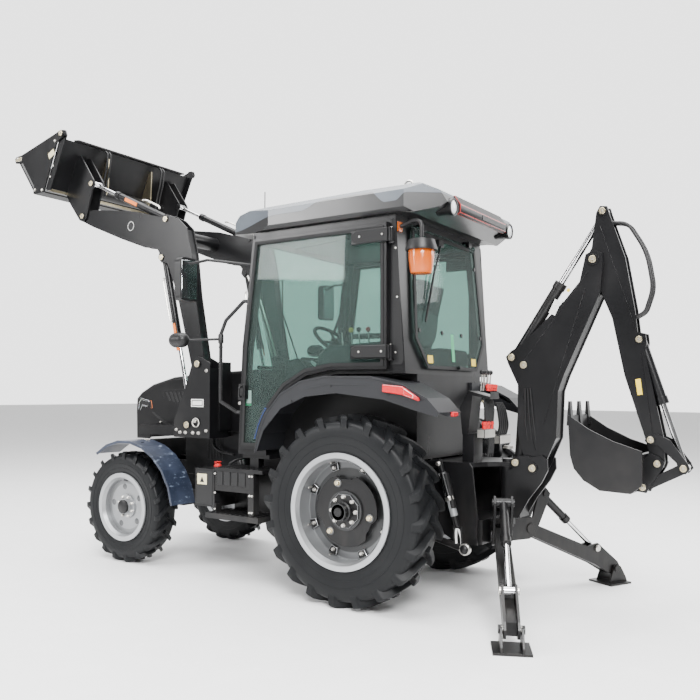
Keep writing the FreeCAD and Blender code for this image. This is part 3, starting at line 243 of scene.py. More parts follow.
def metal(name, colour, rough, brushed=(1, 1, 1), grain=120.0, bump=0.15):
    g = Finish(name)
    lines = g.noise(grain, 4, 0.6, brushed)
    cloud = g.noise(7, 3)
    base = g.mix(g.band(cloud, 0.3, 0.7), tuple(c * 0.8 for c in colour), colour)
    M[name] = g.shade(base, lines * 0.12 + cloud * 0.08 + (rough - 0.1), 1.0, lines, 0.0003, bump)


def glass(name, tint, clear=0.16):
    g = Finish(name)
    smear = g.band(g.noise(3.2, 6, 0.65), 0.5, 0.85)
    drip = g.band(g.noise(12, 4, 0.6, (1, 1, 0.15)), 0.55, 0.8)
    pane = g.add("ShaderNodeBsdfPrincipled", {}, {"Base Color": tuple(0.22 * c for c in tint),
            "Roughness": smear * 0.10 + 0.03,
                                                  "Specular IOR Level": 0.8})
    through = g.add("ShaderNodeBsdfTransparent", {}, {"Color": tint})
    share = smear * 0.05 + drip * 0.04 + clear
    g._output(g.add("ShaderNodeMixShader", {}, {0: share, 1: through, 2: pane}))
    M[name] = g.material


def plastic(name, colour, rough=0.45, grain=700.0, bump=0.3, **more):
    g = Finish(name)
    fine = g.noise(grain, 2)
    cloud = g.noise(4, 4)
    dusty = g.band(cloud, 0.45, 0.8)
    base = g.mix(dusty * 0.3, colour, tuple(min(1, c * 1.5 + 0.004) for c in colour))
    more.setdefault("Specular IOR Level", 0.35)
    M[name] = g.shade(base, cloud * 0.12 + (rough - 0.06), 0.0, fine, 0.0005, bump, **more)


def scuffed_film(name):
    g = Finish(name)
    a = g.band(g.noise(14, 8, 0.72, (1, 1, 2.6)), 0.56, 0.66)
    b = g.band(g.noise(36, 8, 0.75, (2.2, 0.8, 1)), 0.60, 0.68)
    cloud = g.noise(5, 4)
    base = g.mix(g.band(cloud, 0.3, 0.7), (0.012, 0.017, 0.032), (0.028, 0.037, 0.062))
    base = g.mix(a * 0.55 + b * 0.40, base, (0.20, 0.25, 0.34))
    M[name] = g.shade(base, a * 0.2 + 0.42, 0.0, a + cloud, 0.0008, 0.3)


def roof_shell(name, top, low):
    """Slate shell above, black moulding below a stepped line."""
    g = Finish(name)
    x = g.axis("X") - REAR_AXLE
    z = g.axis("Z")
    edge = g.band(x, -0.25, -0.12, 2.585, 2.672) - g.band(x, 0.22, 0.42, 0.0, 0.062) - g.band(x, 0.6, 1.1, 0.0, 0.05)
    rear = g.band(x, -0.40, -0.32, 1.0, 0.0)
    edge = edge + rear * 0.045
    side = g.band(z - edge, -0.0015, 0.0015)
    cloud = g.noise(3, 4)
    fine = g.noise(800, 2)
    shell = g.mix(g.band(cloud, 0.3, 0.7), tuple(0.88 * c for c in top), tuple(1.1 * c for c in top))
    base = g.mix(side, low, shell)
    M[name] = g.shade(base, cloud * 0.12 + 0.26 + side * 0.04, 0.0, fine * 0.5 + cloud * 0.5 + side * 3.0, 0.0008,
            0.2, 0.006,
                      **{"Coat Weight": 0.25, "Coat Roughness": 0.2})


def glow_lens(name, colour, rough=0.12):
    g = Finish(name)
    ribs = g.add("ShaderNodeTexWave", {"wave_type": "BANDS", "bands_direction": "Z"},
            {"Vector": g.place, "Scale": 45.0, "Distortion": 0.0})
    cloud = g.noise(20, 3)
    base = g.mix(cloud, tuple(0.75 * c for c in colour), colour)
    M[name] = g.shade(base, cloud * 0.06 + rough, 0.0, ribs, 0.0012, 0.35,
            **{"Coat Weight": 0.6, "Coat Roughness": 0.05,
                      "Subsurface Weight": 0.12, "Subsurface Radius": (0.02, 0.01, 0.005)})


def cloth(name, colour):
    g = Finish(name)
    weave = g.add("ShaderNodeTexWave", {"wave_type": "BANDS", "bands_direction": "DIAGONAL"},
            {"Vector": g.place, "Scale": 220.0, "Distortion": 1.5})
    cloud = g.noise(12, 4)
    base = g.mix(weave * 0.5 + cloud * 0.4, colour, tuple(2.0 * c + 0.01 for c in colour))
    M[name] = g.shade(base, cloud * 0.1 + 0.75, 0.0, weave, 0.0008, 0.5, **{"Sheen Weight": 0.3})


def make_finishes(colours):
    body = tuple(colours.body)
    paint("body_paint", body, 0.30, colours.dust * 0.35)
    paint("machine_paint", tuple(1.05 * c for c in body), 0.34, colours.dust * 0.8, 700.0)
    paint("digging_paint", tuple(1.05 * c for c in body), 0.34, colours.dust, 500.0)
    silver = tuple(colours.rim)
    paint("rim_silver", silver, 0.28, colours.dust * 0.3, 900.0, 0.0, 0.5, 0.6)
    # A darker copy of the rim silver, at 0.3 brightness: painted shade for the small parts set deep in the wheel.
    paint("rim_deep", tuple(0.3 * c for c in silver), 0.36, colours.dust * 0.4, 900.0, 0.0, 0.4, 0.4)
    # Rear rim rings: the dark centre and the two grey rings inside the silver edge are painted shade in the rim
    # barrel.
    dark = tuple(0.10 * c for c in silver)
    rim_paint_and_shade("rear_rim", (0.0, 0.620), ((0, dark), (0.275, tuple(0.30 * c for c in silver)),
            (0.318, tuple(0.55 * c for c in silver)), (0.345, silver)))
    # Front rim rings: a grey disc centre (its own colour), then a darker ring of painted shade in the rim barrel,
    # easing back to silver at the edge.
    rim_paint_and_shade("front_rim", (2.2, 0.445), ((0, tuple(0.75 * c for c in silver)),
            (0.185, tuple(0.5 * c for c in silver)), (0.222, tuple(0.8 * c for c in silver)), (0.24, silver)))
    roof_shell("roof_two_tone", tuple(colours.roof), (0.006, 0.006, 0.0066))
    rubber("tyre_rubber")
    glass("pane", tuple(colours.glass))
    metal("chromed", (0.86, 0.86, 0.87), 0.14, (1, 1, 1), 300.0, 0.04)
    metal("zinc", (0.66, 0.64, 0.60), 0.34)
    metal("yellow_zinc", (0.66, 0.58, 0.40), 0.36)
    metal("worn_steel", (0.34, 0.33, 0.32), 0.45, (1, 6, 1), 60.0, 0.4)
    metal("mirror_face", (0.75, 0.78, 0.8), 0.12, (1, 1, 1), 20.0, 0.0)
    plastic("black_plastic", (0.007, 0.007, 0.0075), 0.42)
    plastic("fender_plastic", (0.0105, 0.011, 0.013), 0.46, 500.0, 0.45)
    plastic("soft_seal", (0.005, 0.005, 0.0055), 0.6, 400.0, 0.2)
    plastic("cab_trim", (0.028, 0.029, 0.032), 0.6, 500.0, 0.4)
    plastic("blank_white", (0.72, 0.72, 0.70), 0.4, 300.0, 0.05)
    plastic("blank_yellow", (0.72, 0.52, 0.05), 0.4, 300.0, 0.05)
    plastic("blank_cream", (0.66, 0.60, 0.38), 0.45, 300.0, 0.05)
    plastic("label_orange", (0.72, 0.17, 0.02), 0.4, 300.0, 0.05)
    plastic("label_green", (0.04, 0.30, 0.14), 0.4, 300.0, 0.05)
    plastic("film_edge_blue", (0.02, 0.13, 0.52), 0.35, 300.0, 0.05)
    plastic("coupler_red", (0.55, 0.02, 0.02), 0.35, 300.0, 0.1)
    plastic("hose_black", (0.006, 0.006, 0.0065), 0.5, 900.0, 0.5)
    scuffed_film("navy_film")
    glow_lens("lens_red", (0.62, 0.012, 0.02))
    glow_lens("lens_clear", (0.80, 0.82, 0.82), 0.08)
    glow_lens("lens_amber", (0.58, 0.105, 0.001))
    glow_lens("panel_red", (0.33, 0.018, 0.014), 0.25)
    cloth("seat_cloth", (0.035, 0.036, 0.04))
    plastic("floor", (0.90, 0.90, 0.90), 0.6, 40.0, 0.02)


# Mesh building

class Shape:
    """Collects closed forms into one mesh, one material slot for each finish used."""

    def __init__(self):
        self.mesh = bmesh.new()
        self.finishes = []
        self.warp = None

    def _slot(self, finish):
        if finish not in self.finishes:
            self.finishes.append(finish)
        return self.finishes.index(finish)

    def _done(self, verts, faces, finish, bevel=0.0, segments=1):
        slot = self._slot(finish)
        made = []
        points = [self.mesh.verts.new(self.warp(v) if self.warp else v) for v in verts]
        for f in faces:
            made.append(self.mesh.faces.new([points[i] for i in f]))
        bmesh.ops.recalc_face_normals(self.mesh, faces=made)
        if bevel:
            edges = {e for f in made for e in f.edges if e.calc_face_angle(0) > 0.5}
            out = bmesh.ops.bevel(self.mesh, geom=list(edges), offset=bevel, segments=segments, affect="EDGES",
                    clamp_overlap=True)
            made = [f for f in made if f.is_valid] + [f for f in out["faces"] if f.is_valid]
        for f in made:
            f.material_index = slot
            f.smooth = True
        return points

    def slab(self, outline, across, finish, plane="xz", bevel=0.0015):
        """An outline given flat thickness. across is (low, high) along the third axis, in mm."""
        order = {"xz": lambda a, b, c: at(a, c, b), "yz": lambda a, b, c: at(c, a, b), "xy": lambda a, b,
                c: at(a, b, c)}[plane]
        n = len(outline)
        verts = [order(p[0], p[1], across[0]) for p in outline] + [order(p[0], p[1], across[1]) for p in outline]
        faces = [list(range(n)), list(range(2 * n - 1, n - 1, -1))]
        faces += [[i, (i + 1) % n, n + (i + 1) % n, n + i] for i in range(n)]
        self._done(verts, faces, finish, bevel)
        return self

    def block(self, low, high, finish, bevel=0.002):
        outline = [(low[0], low[2]), (high[0], low[2]), (high[0], high[2]), (low[0], high[2])]
        return self.slab(outline, (low[1], high[1]), finish, "xz", bevel)

    def turned(self, profile, origin, axis, finish, sides=32, rim=None):
        """A profile of (distance along the axis, radius) in mm turned about an axis."""
        axis = Vector(axis).normalized()
        side = axis.orthogonal().normalized()
        if abs(axis.y) > 0.9:
            side = Vector((1, 0, 0))
        other = axis.cross(side)
        origin = at(*origin)
        rings = []
        verts = []
        for along, radius in profile:
            centre = origin + axis * along / 1000
            if radius < 1e-6:
                rings.append([len(verts)])
                verts.append(centre)
                continue
            ring = []
            for k in range(sides):
                a = 2 * math.pi * k / sides
                ring.append(len(verts))
                verts.append(centre + (side * math.cos(a) + other * math.sin(a)) * radius / 1000)
            rings.append(ring)
        faces = []
        for a, b in zip(rings, rings[1:]):
            for k in range(sides):
                j = (k + 1) % sides
                if len(a) == 1 and len(b) > 1:
                    faces.append([a[0], b[k], b[j]])
                elif len(b) == 1 and len(a) > 1:
                    faces.append([a[k], b[0], a[j]])
                elif len(a) > 1:
                    faces.append([a[k], b[k], b[j], a[j]])
        for ring in (rings[0], rings[-1]):
            if len(ring) > 1 and rim is None:
                faces.append(list(ring))
        if rim == "closed":
            a, b = rings[-1], rings[0]
            for k in range(sides):
                j = (k + 1) % sides
                faces.append([a[k], b[k], b[j], a[j]])
        self._done(verts, faces, finish)
        return self

    def bar(self, start, end, radius, finish, sides=20, chamfer=1.0):
        reach = at(*end) - at(*start)
        length = reach.length * 1000
        profile = [(0, radius - chamfer), (chamfer, radius), (length - chamfer, radius), (length, radius - chamfer)]
        return self.turned(profile, start, reach, finish, sides)

    def nut(self, where, axis, across, height, finish="zinc", washer=True):
        """A six-sided head with a washer under it. The axis points outward."""
        r = across / math.sqrt(3)
        if washer:
            self.turned([(0, across * 0.62), (height * 0.18, across * 0.62), (height * 0.24, across * 0.58)], where,
                    axis, finish, 20)
        self.turned([(height * 0.2, r), (height * 0.88, r), (height, r * 0.86)], where, axis, finish, 6)
        return self

    def pin_head(self, x, z, y, side, radius=20, finish="yellow_zinc"):
        """A pin's end plate with a centre hole and one keeper bolt."""
        outward = (0, side, 0)
        self.turned([(0, radius), (4, radius), (6, radius - 2), (6, radius * 0.55), (3.5, radius * 0.5), (3.5, 0)],
                (x, y, z), outward, finish, 24)
        self.nut((x, y + side * 3, z), outward, radius * 0.55, 6, "zinc", False)
        return self

    def pipe(self, points, radius, finish, sides=10, bend=0.4):
        """A pipe along points with rounded bends; radius in mm."""
        raw = [at(*p) for p in points]
        line = [raw[0]]
        for before, here, after in zip(raw, raw[1:], raw[2:]):
            reach = min((before - here).length, (after - here).length) * bend
            a = here + (before - here).normalized() * reach
            b = here + (after - here).normalized() * reach
            for k in range(6):
                t = k / 5
                line.append(a * (1 - t) ** 2 + here * 2 * t * (1 - t) + b * t * t)
        line.append(raw[-1])
        line = [p for i, p in enumerate(line) if i == 0 or (p - line[i - 1]).length > 1e-5]
        side = (line[1] - line[0]).orthogonal().normalized()
        verts, faces = [], []
        for i, p in enumerate(line):
            before = line[max(0, i - 1)]
            after = line[min(len(line) - 1, i + 1)]
            way = (after - before).normalized()
            side = (side - way * side.dot(way)).normalized()
            other = way.cross(side)
            for k in range(sides):
                a = 2 * math.pi * k / sides
                verts.append(p + (side * math.cos(a) + other * math.sin(a)) * radius / 1000)
        for i in range(len(line) - 1):
            for k in range(sides):
                j = (k + 1) % sides
                faces.append([i * sides + k, i * sides + j, (i + 1) * sides + j, (i + 1) * sides + k])
        faces.append(list(range(sides)))
        faces.append(list(range((len(line) - 1) * sides, len(line) * sides)))
        self._done(verts, faces, finish)
        return self

    def loop(self, outer, inner, across, finish, plane="yz"):
        """A closed band between two outlines with the same number of points."""
        n = len(outer)
        for i in range(n):
            j = (i + 1) % n
            self.slab([outer[i], outer[j], inner[j], inner[i]], across, finish, plane, 0.0)
        return self

    def make(self, name, body, replaces=(), angle=35, subdivide=0):
        data = bpy.data.meshes.new(name)
        self.mesh.to_mesh(data)
        self.mesh.free()
        for finish in self.finishes:
            data.materials.append(M[finish])
        data.set_sharp_from_angle(angle=math.radians(angle))
        piece = bpy.data.objects.new(name, data)
        bpy.context.scene.collection.objects.link(piece)
        if subdivide:
            modifier = piece.modifiers.new("smooth", "SUBSURF")
            modifier.levels = modifier.render_levels = subdivide
        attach(piece, body)
        if replaces:
            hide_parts(*replaces)
        return piece


def assign(node, finish):
    thing = frame["nodes"][node]
    thing.data.materials.clear()
    thing.data.materials.append(M[finish])


# Tyres and rims

def smooth_profile(points, steps=4):
    """Catmull curve through (y, radius) points."""
    out = []
    for i in range(len(points) - 1):
        p0 = Vector(points[max(0, i - 1)])
        p1, p2 = Vector(points[i]), Vector(points[i + 1])
        p3 = Vector(points[min(len(points) - 1, i + 2)])
        for k in range(steps):
            t = k / steps
            out.append(tuple(0.5 * (2 * p1 + (p2 - p0) * t + (2 * p0 - 5 * p1 + 4 * p2 - p3) * t * t
                                    + (3 * p1 - p0 - 3 * p2 + p3) * t ** 3)))
    out.append(tuple(points[-1]))
    return out


def lugged_tyre(name, node, x, track, radius, width, rim, lug, bars, side):
    shape = Shape()
    half = width / 2
    floor = radius - lug
    wall = [(-0.84 * half, rim - 14), (-0.86 * half, rim + 4), (-0.93 * half, rim + 0.28 * (radius - rim)),
            (-0.965 * half, rim + 0.5 * (radius - rim)), (-0.93 * half, rim + 0.70 * (radius - rim)),
            (-0.80 * half, floor - 6), (-0.4 * half, floor + 1), (0, floor + 3)]
    curve = smooth_profile(wall, 3)
    profile = curve + [(-y, r) for y, r in curve[-2::-1]]
    shape.turned(profile, (x, track, radius), (0, 1, 0), "tyre_rubber", 96, "closed")
    for y_sign in (-1, 1):
        for band in (rim + 9, rim + 0.24 * (radius - rim), rim + 0.44 * (radius - rim)):
            y = y_sign * half * (0.86 + 0.1 * min(1, (band - rim) / (0.45 * (radius - rim))))
            ring = [(y - 2, band - 3), (y + 2 * y_sign, band - 1.5), (y + 2 * y_sign, band + 1.5), (y - 2, band + 3)]
            shape.turned(ring, (x, track, radius), (0, 1, 0), "tyre_rubber", 96, "closed")
    stations = ((-0.07, 0, 0, 1.0), (0.30, 0.30, 0, 1.02), (0.62, 0.66, 0, 1.06), (0.86, 0.95, -3, 1.12),
            (0.965, 1.06, -15, 1.2),
                (0.995, 1.10, -0.28 * (radius - rim), 1.25))
    reach = 0.86 * half / radius
    for hand in (-1, 1):
        for k in range(bars):
            start = 2 * math.pi * (k + (0.5 if hand > 0 else 0)) / bars
            verts = []
            for s, turn, drop, wide in stations:
                top = radius + drop
                base = min(top - 4, floor - (12 if s < 0.9 else 26 + 0.12 * (radius - rim)))
                y = hand * s * half
                for r, w, pull in ((base, 0.088, 0.93 if s > 0.9 else 1.0), (top, 0.064, 1.0)):
                    for edge in (-1, 1):
                        a = start - turn * reach + edge * w * wide * 0.5 * 20 / bars
                        verts.append(at(x + r * math.sin(a), track + y * pull, radius + r * math.cos(a)))
            faces = []
            for i in range(len(stations) - 1):
                a, b = 4 * i, 4 * (i + 1)
                faces += [[a, a + 1, b + 1, b], [a + 2, b + 2, b + 3, a + 3], [a, b, b + 2, a + 2],
                        [a + 1, a + 3, b + 3, b + 1]]
            last = 4 * (len(stations) - 1)
            faces += [[0, 2, 3, 1], [last, last + 1, last + 3, last + 2]]
            shape._done(verts, faces, "tyre_rubber", 0.0035, 2)
    shape.make(name, BODIES[node], (node,), 40)


def rear_rim_dress(name, side):
    shape = Shape()
    out = (0, side, 0)
    z = 620
    plate = []
    for k in range(36):
        a = math.radians(k * 10)
        notch = 1.0 - 0.13 * (1 if (k % 12) in (0, 11, 1) else 0)
        plate.append((236 * notch * math.sin(a), z + 236 * notch * math.cos(a)))
    low, high = sorted((side * 735.3, side * 745))
    shape.slab(plate, (low, high), "machine_paint", "xz", 0.002)
    octagon = [(116 * math.sin(math.radians(22.5 + 45 * k)),
            z + 116 * math.cos(math.radians(22.5 + 45 * k))) for k in range(8)]
    low, high = sorted((side * 760.3, side * 772))
    shape.slab(octagon, (low, high), "rim_silver", "xz", 0.002)
    shape.turned([(0, 62), (6, 66), (26, 66), (32, 58), (66, 56), (70, 50), (70, 0)], (0, side * 768, z), out,
            "black_plastic", 40)
    shape.turned([(0, 30), (5, 28), (5, 0)], (0, side * 838.2, z), out, "black_plastic", 32)
    for k in range(8):
        a = math.radians(45 * k)
        shape.nut((92 * math.sin(a), side * 772, z + 92 * math.cos(a)), out, 22, 16, "zinc")
    for k in range(3):
        a = math.radians(20 + 120 * k)
        shape.turned([(0, 26), (4, 26), (5, 24), (5, 12)], (186 * math.sin(a), side * 745, z + 186 * math.cos(a)),
                out, "rim_deep", 24)
        shape.nut((186 * math.sin(a), side * 749, z + 186 * math.cos(a)), out, 30, 20, "yellow_zinc")
    for k in range(8):
        a = math.radians(22 + 45 * k)
        ca, sa = math.cos(a), math.sin(a)
        foot = [(-34, 318), (34, 318), (26, 268), (-26, 268)]
        outline = [(u * ca + r * sa, z + r * ca - u * sa) for u, r in foot]
        low, high = sorted((side * 704.5, side * 722))
        shape.slab(outline, (low, high), "rim_silver", "xz", 0.003)
        shape.nut((290 * sa, side * 722, z + 290 * ca), out, 20, 16, "zinc")
        shape.bar((326 * sa, side * 700, z + 326 * ca), (326 * sa, side * 752, z + 326 * ca), 6, "zinc")
    shape.bar((0, side * 700, z - 330), (0, side * 764, z - 340), 6, "rim_deep")
    for r, y in ((352, 792), (344, 806), (338, 770)):
        shape.turned([(-2, r), (0, r + 3), (2, r), (0, r - 3)], (0, side * y, z), out, "rim_silver", 96, "closed")
    shape.make(name, "rear_%s_wheel" % ("left" if side > 0 else "right"))


def front_rim_dress(name, side):
    shape = Shape()
    out = (0, side, 0)
    x, z = 2200, 445
    for k in range(8):
        a = math.radians(22.5 + 45 * k)
        shape.nut((x + 80 * math.sin(a), side * 668, z + 80 * math.cos(a)), out, 19, 15, "zinc")
    shape.turned([(0, 56), (16, 54), (20, 48), (20, 0)], (x, side * 690, z), out, "black_plastic", 36)
    for k in range(5):
        a = math.radians(10 + 72 * k)
        shape.turned([(0, 24), (1, 21), (1, 0)], (x + 160 * math.sin(a), side * 654.3, z + 160 * math.cos(a)), out,
                "rim_deep", 24)
    for r, y in ((250, 692), (243, 702), (232, 668)):
        shape.turned([(-2, r), (0, r + 2.5), (2, r), (0, r - 2.5)], (x, side * y, z), out, "rim_silver", 80, "closed")
    shape.bar((x, side * 654, z + 205), (x, side * 690, z + 218), 5, "rim_deep")
    shape.make(name, "front_%s_wheel" % ("left" if side > 0 else "right"))


class LOADER_OT_tyres(bpy.types.Operator):
    """Bar-tread tyres around the rims."""
    bl_idname = "loader.tyres"
    bl_label = "Tyres"

    def execute(self, context):
        sizes = context.scene.loader_sizes
        for name, side in SIDES:
            lugged_tyre("rear_%s_tread" % name, "rear_%s_tyre" % name, 0, side * 690, 620, 315, 378,
                        sizes.rear_lug * 1000, sizes.rear_bars, side)
            lugged_tyre("front_%s_tread" % name, "front_%s_tyre" % name, 2200, side * 610, 445, 215, 274,
                        sizes.front_lug * 1000, sizes.front_bars, side)
        return {"FINISHED"}


class LOADER_OT_rims(bpy.types.Operator):
    """Wheel plates, bolts, hub caps and rolled rim edges."""
    bl_idname = "loader.rims"
    bl_label = "Rims"

    def execute(self, context):
        for name, side in SIDES:
            assign("rear_%s_rim" % name, "rear_rim")
            assign("front_%s_rim" % name, "front_rim")
            rear_rim_dress("rear_%s_wheel_plate" % name, side)
            front_rim_dress("front_%s_wheel_bolts" % name, side)
        return {"FINISHED"}


# Hood

class LOADER_OT_hood(bpy.types.Operator):
    """Headlamps, side graphic, louvres and grille on the hood."""
    bl_idname = "loader.hood"
    bl_label = "Hood"

    def execute(self, context):
        assign("hood", "body_paint")
        shape = Shape()
        for _, s in SIDES:
            lamp = [(2318, 1306), (2452, 1330), (2474, 1296), (2478, 1222), (2452, 1214), (2420, 1262), (2330, 1250)]
            shape.slab(lamp, span(s, 304, 307), "black_plastic")
            seven = [(2330, 1300), (2446, 1322), (2466, 1292), (2470, 1226), (2460, 1222), (2450, 1282), (2432, 1306),
                    (2332, 1288)]
            shape.slab(seven, span(s, 306, 309), "lens_clear")
            under = [(2352, 1252), (2420, 1264), (2448, 1220), (2440, 1214), (2414, 1254), (2356, 1244)]
            shape.slab(under, span(s, 306, 309), "lens_clear")
            slash = [(2290, 1236), (2302, 1300), (2318, 1300), (2312, 1236)]
            shape.slab(slash, span(s, 304.5, 308), "label_orange")
            swoosh = [(1990, 1080), (2120, 1090), (2300, 1200), (2280, 1206), (2110, 1112), (1990, 1098)]
            shape.slab(swoosh, span(s, 304.5, 306), "black_plastic")
            for k in range(7):
                x = 1790 + 46 * k
                vent = [(x, 1270 + 5 * k), (x + 26, 1274 + 5 * k), (x + 66, 1384 - 2 * k), (x + 40, 1384 - 2 * k)]
                shape.slab(vent, span(s, 304.5, 307.5), "black_plastic")
            panel = [(1760, 1256), (2150, 1290), (2170, 1392), (1830, 1404)]
            inner = [(1768, 1262), (2143, 1295), (2161, 1386), (1834, 1397)]
            shape.loop(panel, inner, span(s, 304.5, 306), "soft_seal", "xz")
            shape.slab([(1175, 1070), (2280, 1070), (2310, 990), (2470, 990), (2470, 984), (2304, 984), (2276, 1064),
                    (1175, 1064)],
                       span(s, 304.5, 306.5), "soft_seal")
            for x in (1240, 2190):
                shape.nut((x, s * 305, 1120), (0, s, 0), 16, 8, "zinc")
            shape.bar((2496, s * 150, 1262), (2503, s * 150, 1262), 52, "black_plastic", 32)
            shape.turned([(0, 44), (4, 40), (6, 22), (6.5, 0)], (2500, s * 150, 1262), (1, 0, 0), "lens_clear", 32)
        for k in range(9):
            z = 1010 + 22 * k
            shape.block((2498, -235, z), (2508, 235, z + 9), "black_plastic")
        shape.loop([(-262, 996), (262, 996), (262, 1208), (-262, 1208)], [(-245, 1006), (245, 1006), (245, 1198),
                (-245, 1198)],
                   (2496, 2510), "black_plastic")
        shape.make("hood_trim", "hood")
        return {"FINISHED"}


# Cab

def door_line(grow):
    g = grow
    return [(968 + g, 985 - g), (941 + g, 1700), (850 + g, 2455 + g), (-232 - g, 2455 + g), (-240 - g, 1545 - g),
            (175 - g * 0.3, 1545 - g), (384 - g * 0.5, 1509 - g), (564 - g * 0.8, 1413 - g * 0.8),
            (694 - g, 1272 - g * 0.6), (768 - g, 1118 - g * 0.4), (795 - g, 985 - g)]


class LOADER_OT_doors(bpy.types.Operator):
    """Door gaskets, hinge covers, handles, gas springs and stickers."""
    bl_idname = "loader.doors"
    bl_label = "Doors"

    def execute(self, context):
        for name, s in SIDES:
            assign(name + "_door", "body_paint")
            assign(name + "_door_glass", "pane")
            shape = Shape()

            shape.loop(door_line(-10), door_line(-32), span(s, 673.2, 677), "soft_seal", "xz")
            shape.loop(door_line(-18), door_line(-30), span(s, 650, 655.5), "soft_seal", "xz")
            for z in (1600, 2340):
                cover = [(-262, z + 4), (-30, z + 4), (6, z + 22), (6, z + 68), (-30, z + 86), (-262, z + 86)]
                shape.slab(cover, span(s, 692.5, 702), "black_plastic", "xz", 0.005)
                for x in (-230, -60):
                    shape.nut((x, s * 702, z + 45), (0, s, 0), 13, 5, "zinc", False)
                shape.bar((-276, s * 664, z - 6), (-276, s * 664, z + 92), 8, "zinc")
            shape.slab([(900, 1322), (962, 1322), (958, 1438), (900, 1438)], span(s, 706, 712), "black_plastic", "xz",
                    0.005)
            shape.pipe([(930, s * 705, 1345), (930, s * 738, 1350), (926, s * 738, 1415), (926, s * 705, 1420)], 7,
                    "black_plastic")
            shape.bar((944, s * 712, 1300), (944, s * 716, 1300), 11, "zinc", 20)
            if s > 0:
                shape.slab([(884, 1300), (932, 1300), (930, 1392), (884, 1392)], span(s, 655.2, 656), "blank_white",
                        "xz", 0.0)
                shape.slab([(884, 1282), (960, 1282), (958, 1396), (932, 1396), (932, 1298), (884, 1298)],
                        span(s, 655.1, 655.8),
                           "label_green", "xz", 0.0)
            shape.pipe([(60, s * 640, 2395), (150, s * 634, 2392), (520, s * 622, 2372)], 7, "black_plastic")
            shape.make(name + "_door_trim", name + "_door")
        return {"FINISHED"}


def windscreen_lean(p):
    z = p.z * 1000
    lean = (z - 1000) * 0.0447 if z < 1700 else 31.3 + (z - 1700) * 0.1296
    return Vector((p.x - lean / 1000, p.y, p.z))


def rear_lean(p):
    return Vector((p.x - 0.0808 * (2.470 - p.z), p.y, p.z))


class LOADER_OT_cab(bpy.types.Operator):
    """Cab pillars, pane seals, wipers, sill trims and stickers."""
    bl_idname = "loader.cab"
    bl_label = "Cab"

    def execute(self, context):
        assign("cab_frame", "body_paint")
        assign("windscreen", "pane")
        assign("rear_window", "pane")
        shape = Shape()
        shape.warp = windscreen_lean
        shape.loop([(-588, 1004), (588, 1004), (588, 1700), (588, 2497), (-588, 2497), (-588, 1700)],
                   [(-560, 1030), (560, 1030), (560, 1700), (536, 2455), (-536, 2455), (-560, 1700)], (1023.6,
                           1027), "soft_seal")
        shape.slab([(-455, 1552), (455, 1552), (455, 1578), (-455, 1578)], (1023.6, 1028), "soft_seal", "yz")
        shape.pipe([(1030, -60, 1600), (1040, -60, 1640), (1046, 200, 2010)], 6, "black_plastic")
        shape.slab([(150, 1760), (158, 1760), (250, 2240), (242, 2240)], (1030, 1040), "soft_seal", "yz")
        shape.warp = None
        for _, s in SIDES:
            shape.slab([(985, 1000), (1012, 1000), (980, 1700), (876, 2500), (862, 2500), (955, 1700)],
                    span(s, 640.2, 643),
                       "black_plastic", "xz", 0.001)
            shape.slab([(-296, 2490), (-262, 2490), (-262, 1560), (-350, 1560), (-362, 1600)], span(s, 640.2, 644),
                    "body_paint", "xz", 0.002)
            shape.block((-60, min(s * 560, s * 600), 1500), (300, max(s * 560, s * 600), 1512), "cab_trim")
            for x, z in ((-300, 1640), (-296, 2300), (-310, 1990)):
                shape.nut((x, s * 643, z), (0, s, 0), 12, 6, "zinc", False)
        shape.make("cab_seals", ROOT)

        shape = Shape()
        shape.warp = rear_lean
        outer = [(-378, 1543), (-526, 1737), (-477, 2467), (477, 2467), (526, 1737), (378, 1543)]
        inner = [(-362, 1566), (-498, 1744), (-452, 2440), (452, 2440), (498, 1744), (362, 1566)]
        outer = [(y, min(z, 2450)) for y, z in outer]
        inner = [(y, min(z, 2426)) for y, z in inner]
        shape.loop(outer, inner, (-322, -317.2), "soft_seal")
        low_outer = [(y, min(z, 2446)) for y, z in outer]
        low_inner = [(y, min(z, 2424)) for y, z in inner]
        shape.loop(low_outer, low_inner, (-310.8, -308.4), "soft_seal")
        for s in (-1, 1):
            low, high = span(s, 300, 372)
            shape.slab([(low, 1580), (high, 1580), (high, 1632), (low, 1632)], (-317.9, -317.1), "blank_yellow", "yz",
                    0.0)
            for y, z in ((s * 470, 1790), (s * 440, 2300), (s * 150, 1790)):
                shape.turned([(0, 15), (6, 15), (9, 12), (9, 0)], (-317, y, z), (-1, 0, 0), "black_plastic", 20)
        shape.slab([(-30, 1600), (14, 1600), (14, 1790), (-30, 1790)], (-317.9, -317.1), "label_green", "yz", 0.0)
        shape.block((-356, 100, 2376), (-318, 180, 2424), "black_plastic", 0.006)
        shape.pipe([(-352, 140, 2398), (-356, 190, 2320), (-345, 262, 2180), (-340, 330, 2010)], 6, "black_plastic")
        shape.slab([(196, 2240), (206, 2246), (400, 1850), (390, 1846)], (-336, -324), "soft_seal", "yz")
        shape.bar((-318, -60, 1560), (-345, -60, 1560), 12, "black_plastic")
        shape.make("rear_window_trim", "rear_window")
        return {"FINISHED"}


